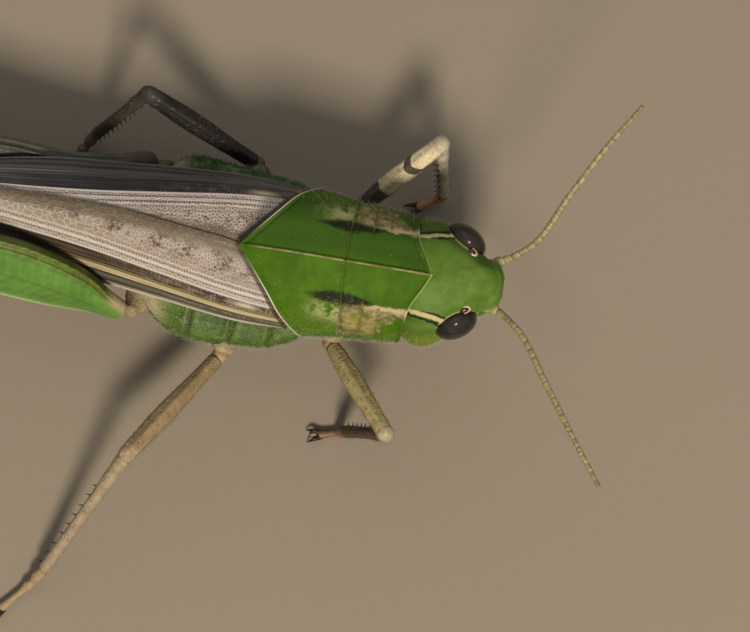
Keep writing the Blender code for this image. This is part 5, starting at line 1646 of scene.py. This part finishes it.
# %% Finishes of the hairs: the skin's own colours at the root, whitish towards the tip
def hair_finish(name, colours):
    """The skin's colours, or a plain brown, at the root, and a pale colour at the tip."""
    made, paint = finish(name, 0.5)
    under = paint.use(colours)[0] if colours else (0.10, 0.075, 0.045)
    pale = (0.46, 0.43, 0.34) if colours else (0.24, 0.19, 0.13)
    paint.dress(paint.mix(paint.rise(paint.mark("tip"), 0.0, 1.1), under, pale))
    return made


# %% Coats of the head, the saddle and the chest
def on_head(points, normals, marks):
    """Outside the eyes, densest low on the cheeks, none at the rear and few on the crown."""
    s, y, z = marks["at_head"].T
    outside = np.minimum.reduce([eye_measure(s, y, z, side) for side in SIDES.values()])
    return (step(outside, 1.08, 1.2) * (0.10 + step(z, 9.0, 6.5)) * step(s, 5.4, 4.8)
            * (0.12 + 0.88 * step(z, 10.4, 9.6)))


def on_saddle(points, normals, marks):
    """On the outer side alone, few along the crest and most towards the lower edge."""
    _, y, out = marks["at_saddle"].T
    outside = step(np.sum(normals * (points - at(8.0, 0.0, 7.0)), 1), 0.0, 0.3)
    return outside * (0.012 + step(np.abs(y), 2.5, 3.2) * (0.4 + 0.6 * step(out, 0.4, 0.8)))


def on_chest(points, normals, marks):
    """On the sides below the wings, behind the saddle, fewer on the belly."""
    s, _, z = marks["at_chest"].T
    return step(s, 8.2, 9.2) * step(z, 6.5, 5.6) * (0.35 + 0.65 * step(z, 2.6, 3.6)) * step(s, 18.4, 17.6)


def coat(name, grown, colours, slot):
    """Hairs as a piece of their own, in the colours of the skin they stand on."""
    piece(name, grown, hair_finish(name + "_finish", colours), slot, chart_name="OFBake")


coat("head_hairs", hairs(head, 2200, on_head, length=0.24, radius=0.0070, stand=0.72,
                         lie=(-0.5, 0.0, -0.8), seed=11), head_colours, "head")
coat("saddle_hairs", hairs(saddle, 2000, on_saddle, length=0.25, radius=0.0070, stand=0.72,
                           lie=(-1.0, 0.0, -0.4), seed=12), saddle_colours, "pronotum")
coat("chest_hairs", hairs(chest, 5000, on_chest, length=0.31, radius=0.0072, stand=0.78,
                          lie=(-0.9, 0.0, -0.5), seed=13), chest_colours, "thorax")

# %% Coat of the legs: each part of each leg has its own tile of the chart
grown = []
for number, (name, made) in enumerate(legs.items()):
    for row, part in enumerate(("thigh", "shin")):
        if part in made["marks"]:
            grown.append(hairs(made, 300, lambda *place, part=part: place[2][part] > 0.8 * MARK_START,
                               length=0.22, radius=0.008, stand=0.45, lie=unit(at(*LEG_LIE[name])),
                               seed=20 + 2 * number + row,
                               tile=(number % 4, 2 * (number // 4) + row, 4)))
coat("leg_hairs", joined(grown), None, "legs")

# %% [markdown]
# ## Floor, light and camera
# The floor is a plain pale sheet.  A soft key light stands over the animal's right side, a broad
# weak one over its left, and the camera looks almost straight down, rolled slightly so that the
# animal crosses the frame at a slant.

# %% Floor
FLOOR_DROP = 0.00002  # keeps the soles and the floor from lying in one plane, in metres
bpy.ops.mesh.primitive_plane_add(size=3.0, location=(0, 0, -FLOOR_DROP))
floor = bpy.context.object
floor.name = "floor"
floor_finish = bpy.data.materials.new("pale_floor")
floor_finish.use_nodes = True
floor_shader = floor_finish.node_tree.nodes["Principled BSDF"]
floor_shader.inputs["Base Color"].default_value = (0.190, 0.150, 0.104, 1)
floor_shader.inputs["Roughness"].default_value = 0.9
floor.data.materials.append(floor_finish)

# %% Lights
def lamp(name, place, aim, size, watts, colour):
    """Square area lamp at place, turned towards aim; both in metres."""
    data = bpy.data.lights.new(name, "AREA")
    data.size = size
    data.energy = watts
    data.color = colour
    thing = bpy.data.objects.new(name, data)
    thing.location = place
    away = unit(np.array(place, float) - np.array(aim, float))
    thing.rotation_mode = "QUATERNION"
    from_z = mathutils.Vector((0, 0, 1))
    thing.rotation_quaternion = from_z.rotation_difference(mathutils.Vector(away))
    bpy.context.scene.collection.objects.link(thing)


body_middle = (0.01, 0.004, 0.006)
lamp("key", (0.10, -0.25, 0.37), body_middle, size=0.10, watts=2.75, colour=(1.0, 0.945, 0.85))
lamp("fill", (-0.10, 0.34, 0.40), body_middle, size=0.60, watts=0.8, colour=(0.98, 0.98, 1.0))
world = bpy.context.scene.world or bpy.data.worlds.new("studio")
bpy.context.scene.world = world
world.use_nodes = True
world.node_tree.nodes["Background"].inputs["Color"].default_value = (0.90, 0.94, 1.0, 1)
world.node_tree.nodes["Background"].inputs["Strength"].default_value = 0.35

# %% Camera
ROLL, TILT = math.radians(9.27), math.radians(4.5)
AIM = at(6.06, -2.11, 7.5)
DISTANCE, FIELD = 160.0, 37.5
toward = np.array((0.0, -math.sin(TILT), math.cos(TILT)))
rightward = np.array((math.cos(ROLL), math.sin(ROLL) * math.cos(TILT), math.sin(ROLL) * math.sin(TILT)))
camera = bpy.data.objects.new("camera", bpy.data.cameras.new("camera"))
bpy.context.scene.collection.objects.link(camera)
turned = mathutils.Matrix(np.stack([rightward, np.cross(toward, rightward), toward], 1).tolist())
camera.matrix_world = mathutils.Matrix.LocRotScale((START + AIM + toward * DISTANCE) * MM, turned, None)
camera.data.sensor_width = 36.0
camera.data.lens = camera.data.sensor_width * DISTANCE / FIELD
camera.data.clip_start, camera.data.clip_end = 0.01, 5.0
bpy.context.scene.camera = camera
bpy.context.scene.view_settings.view_transform = "Standard"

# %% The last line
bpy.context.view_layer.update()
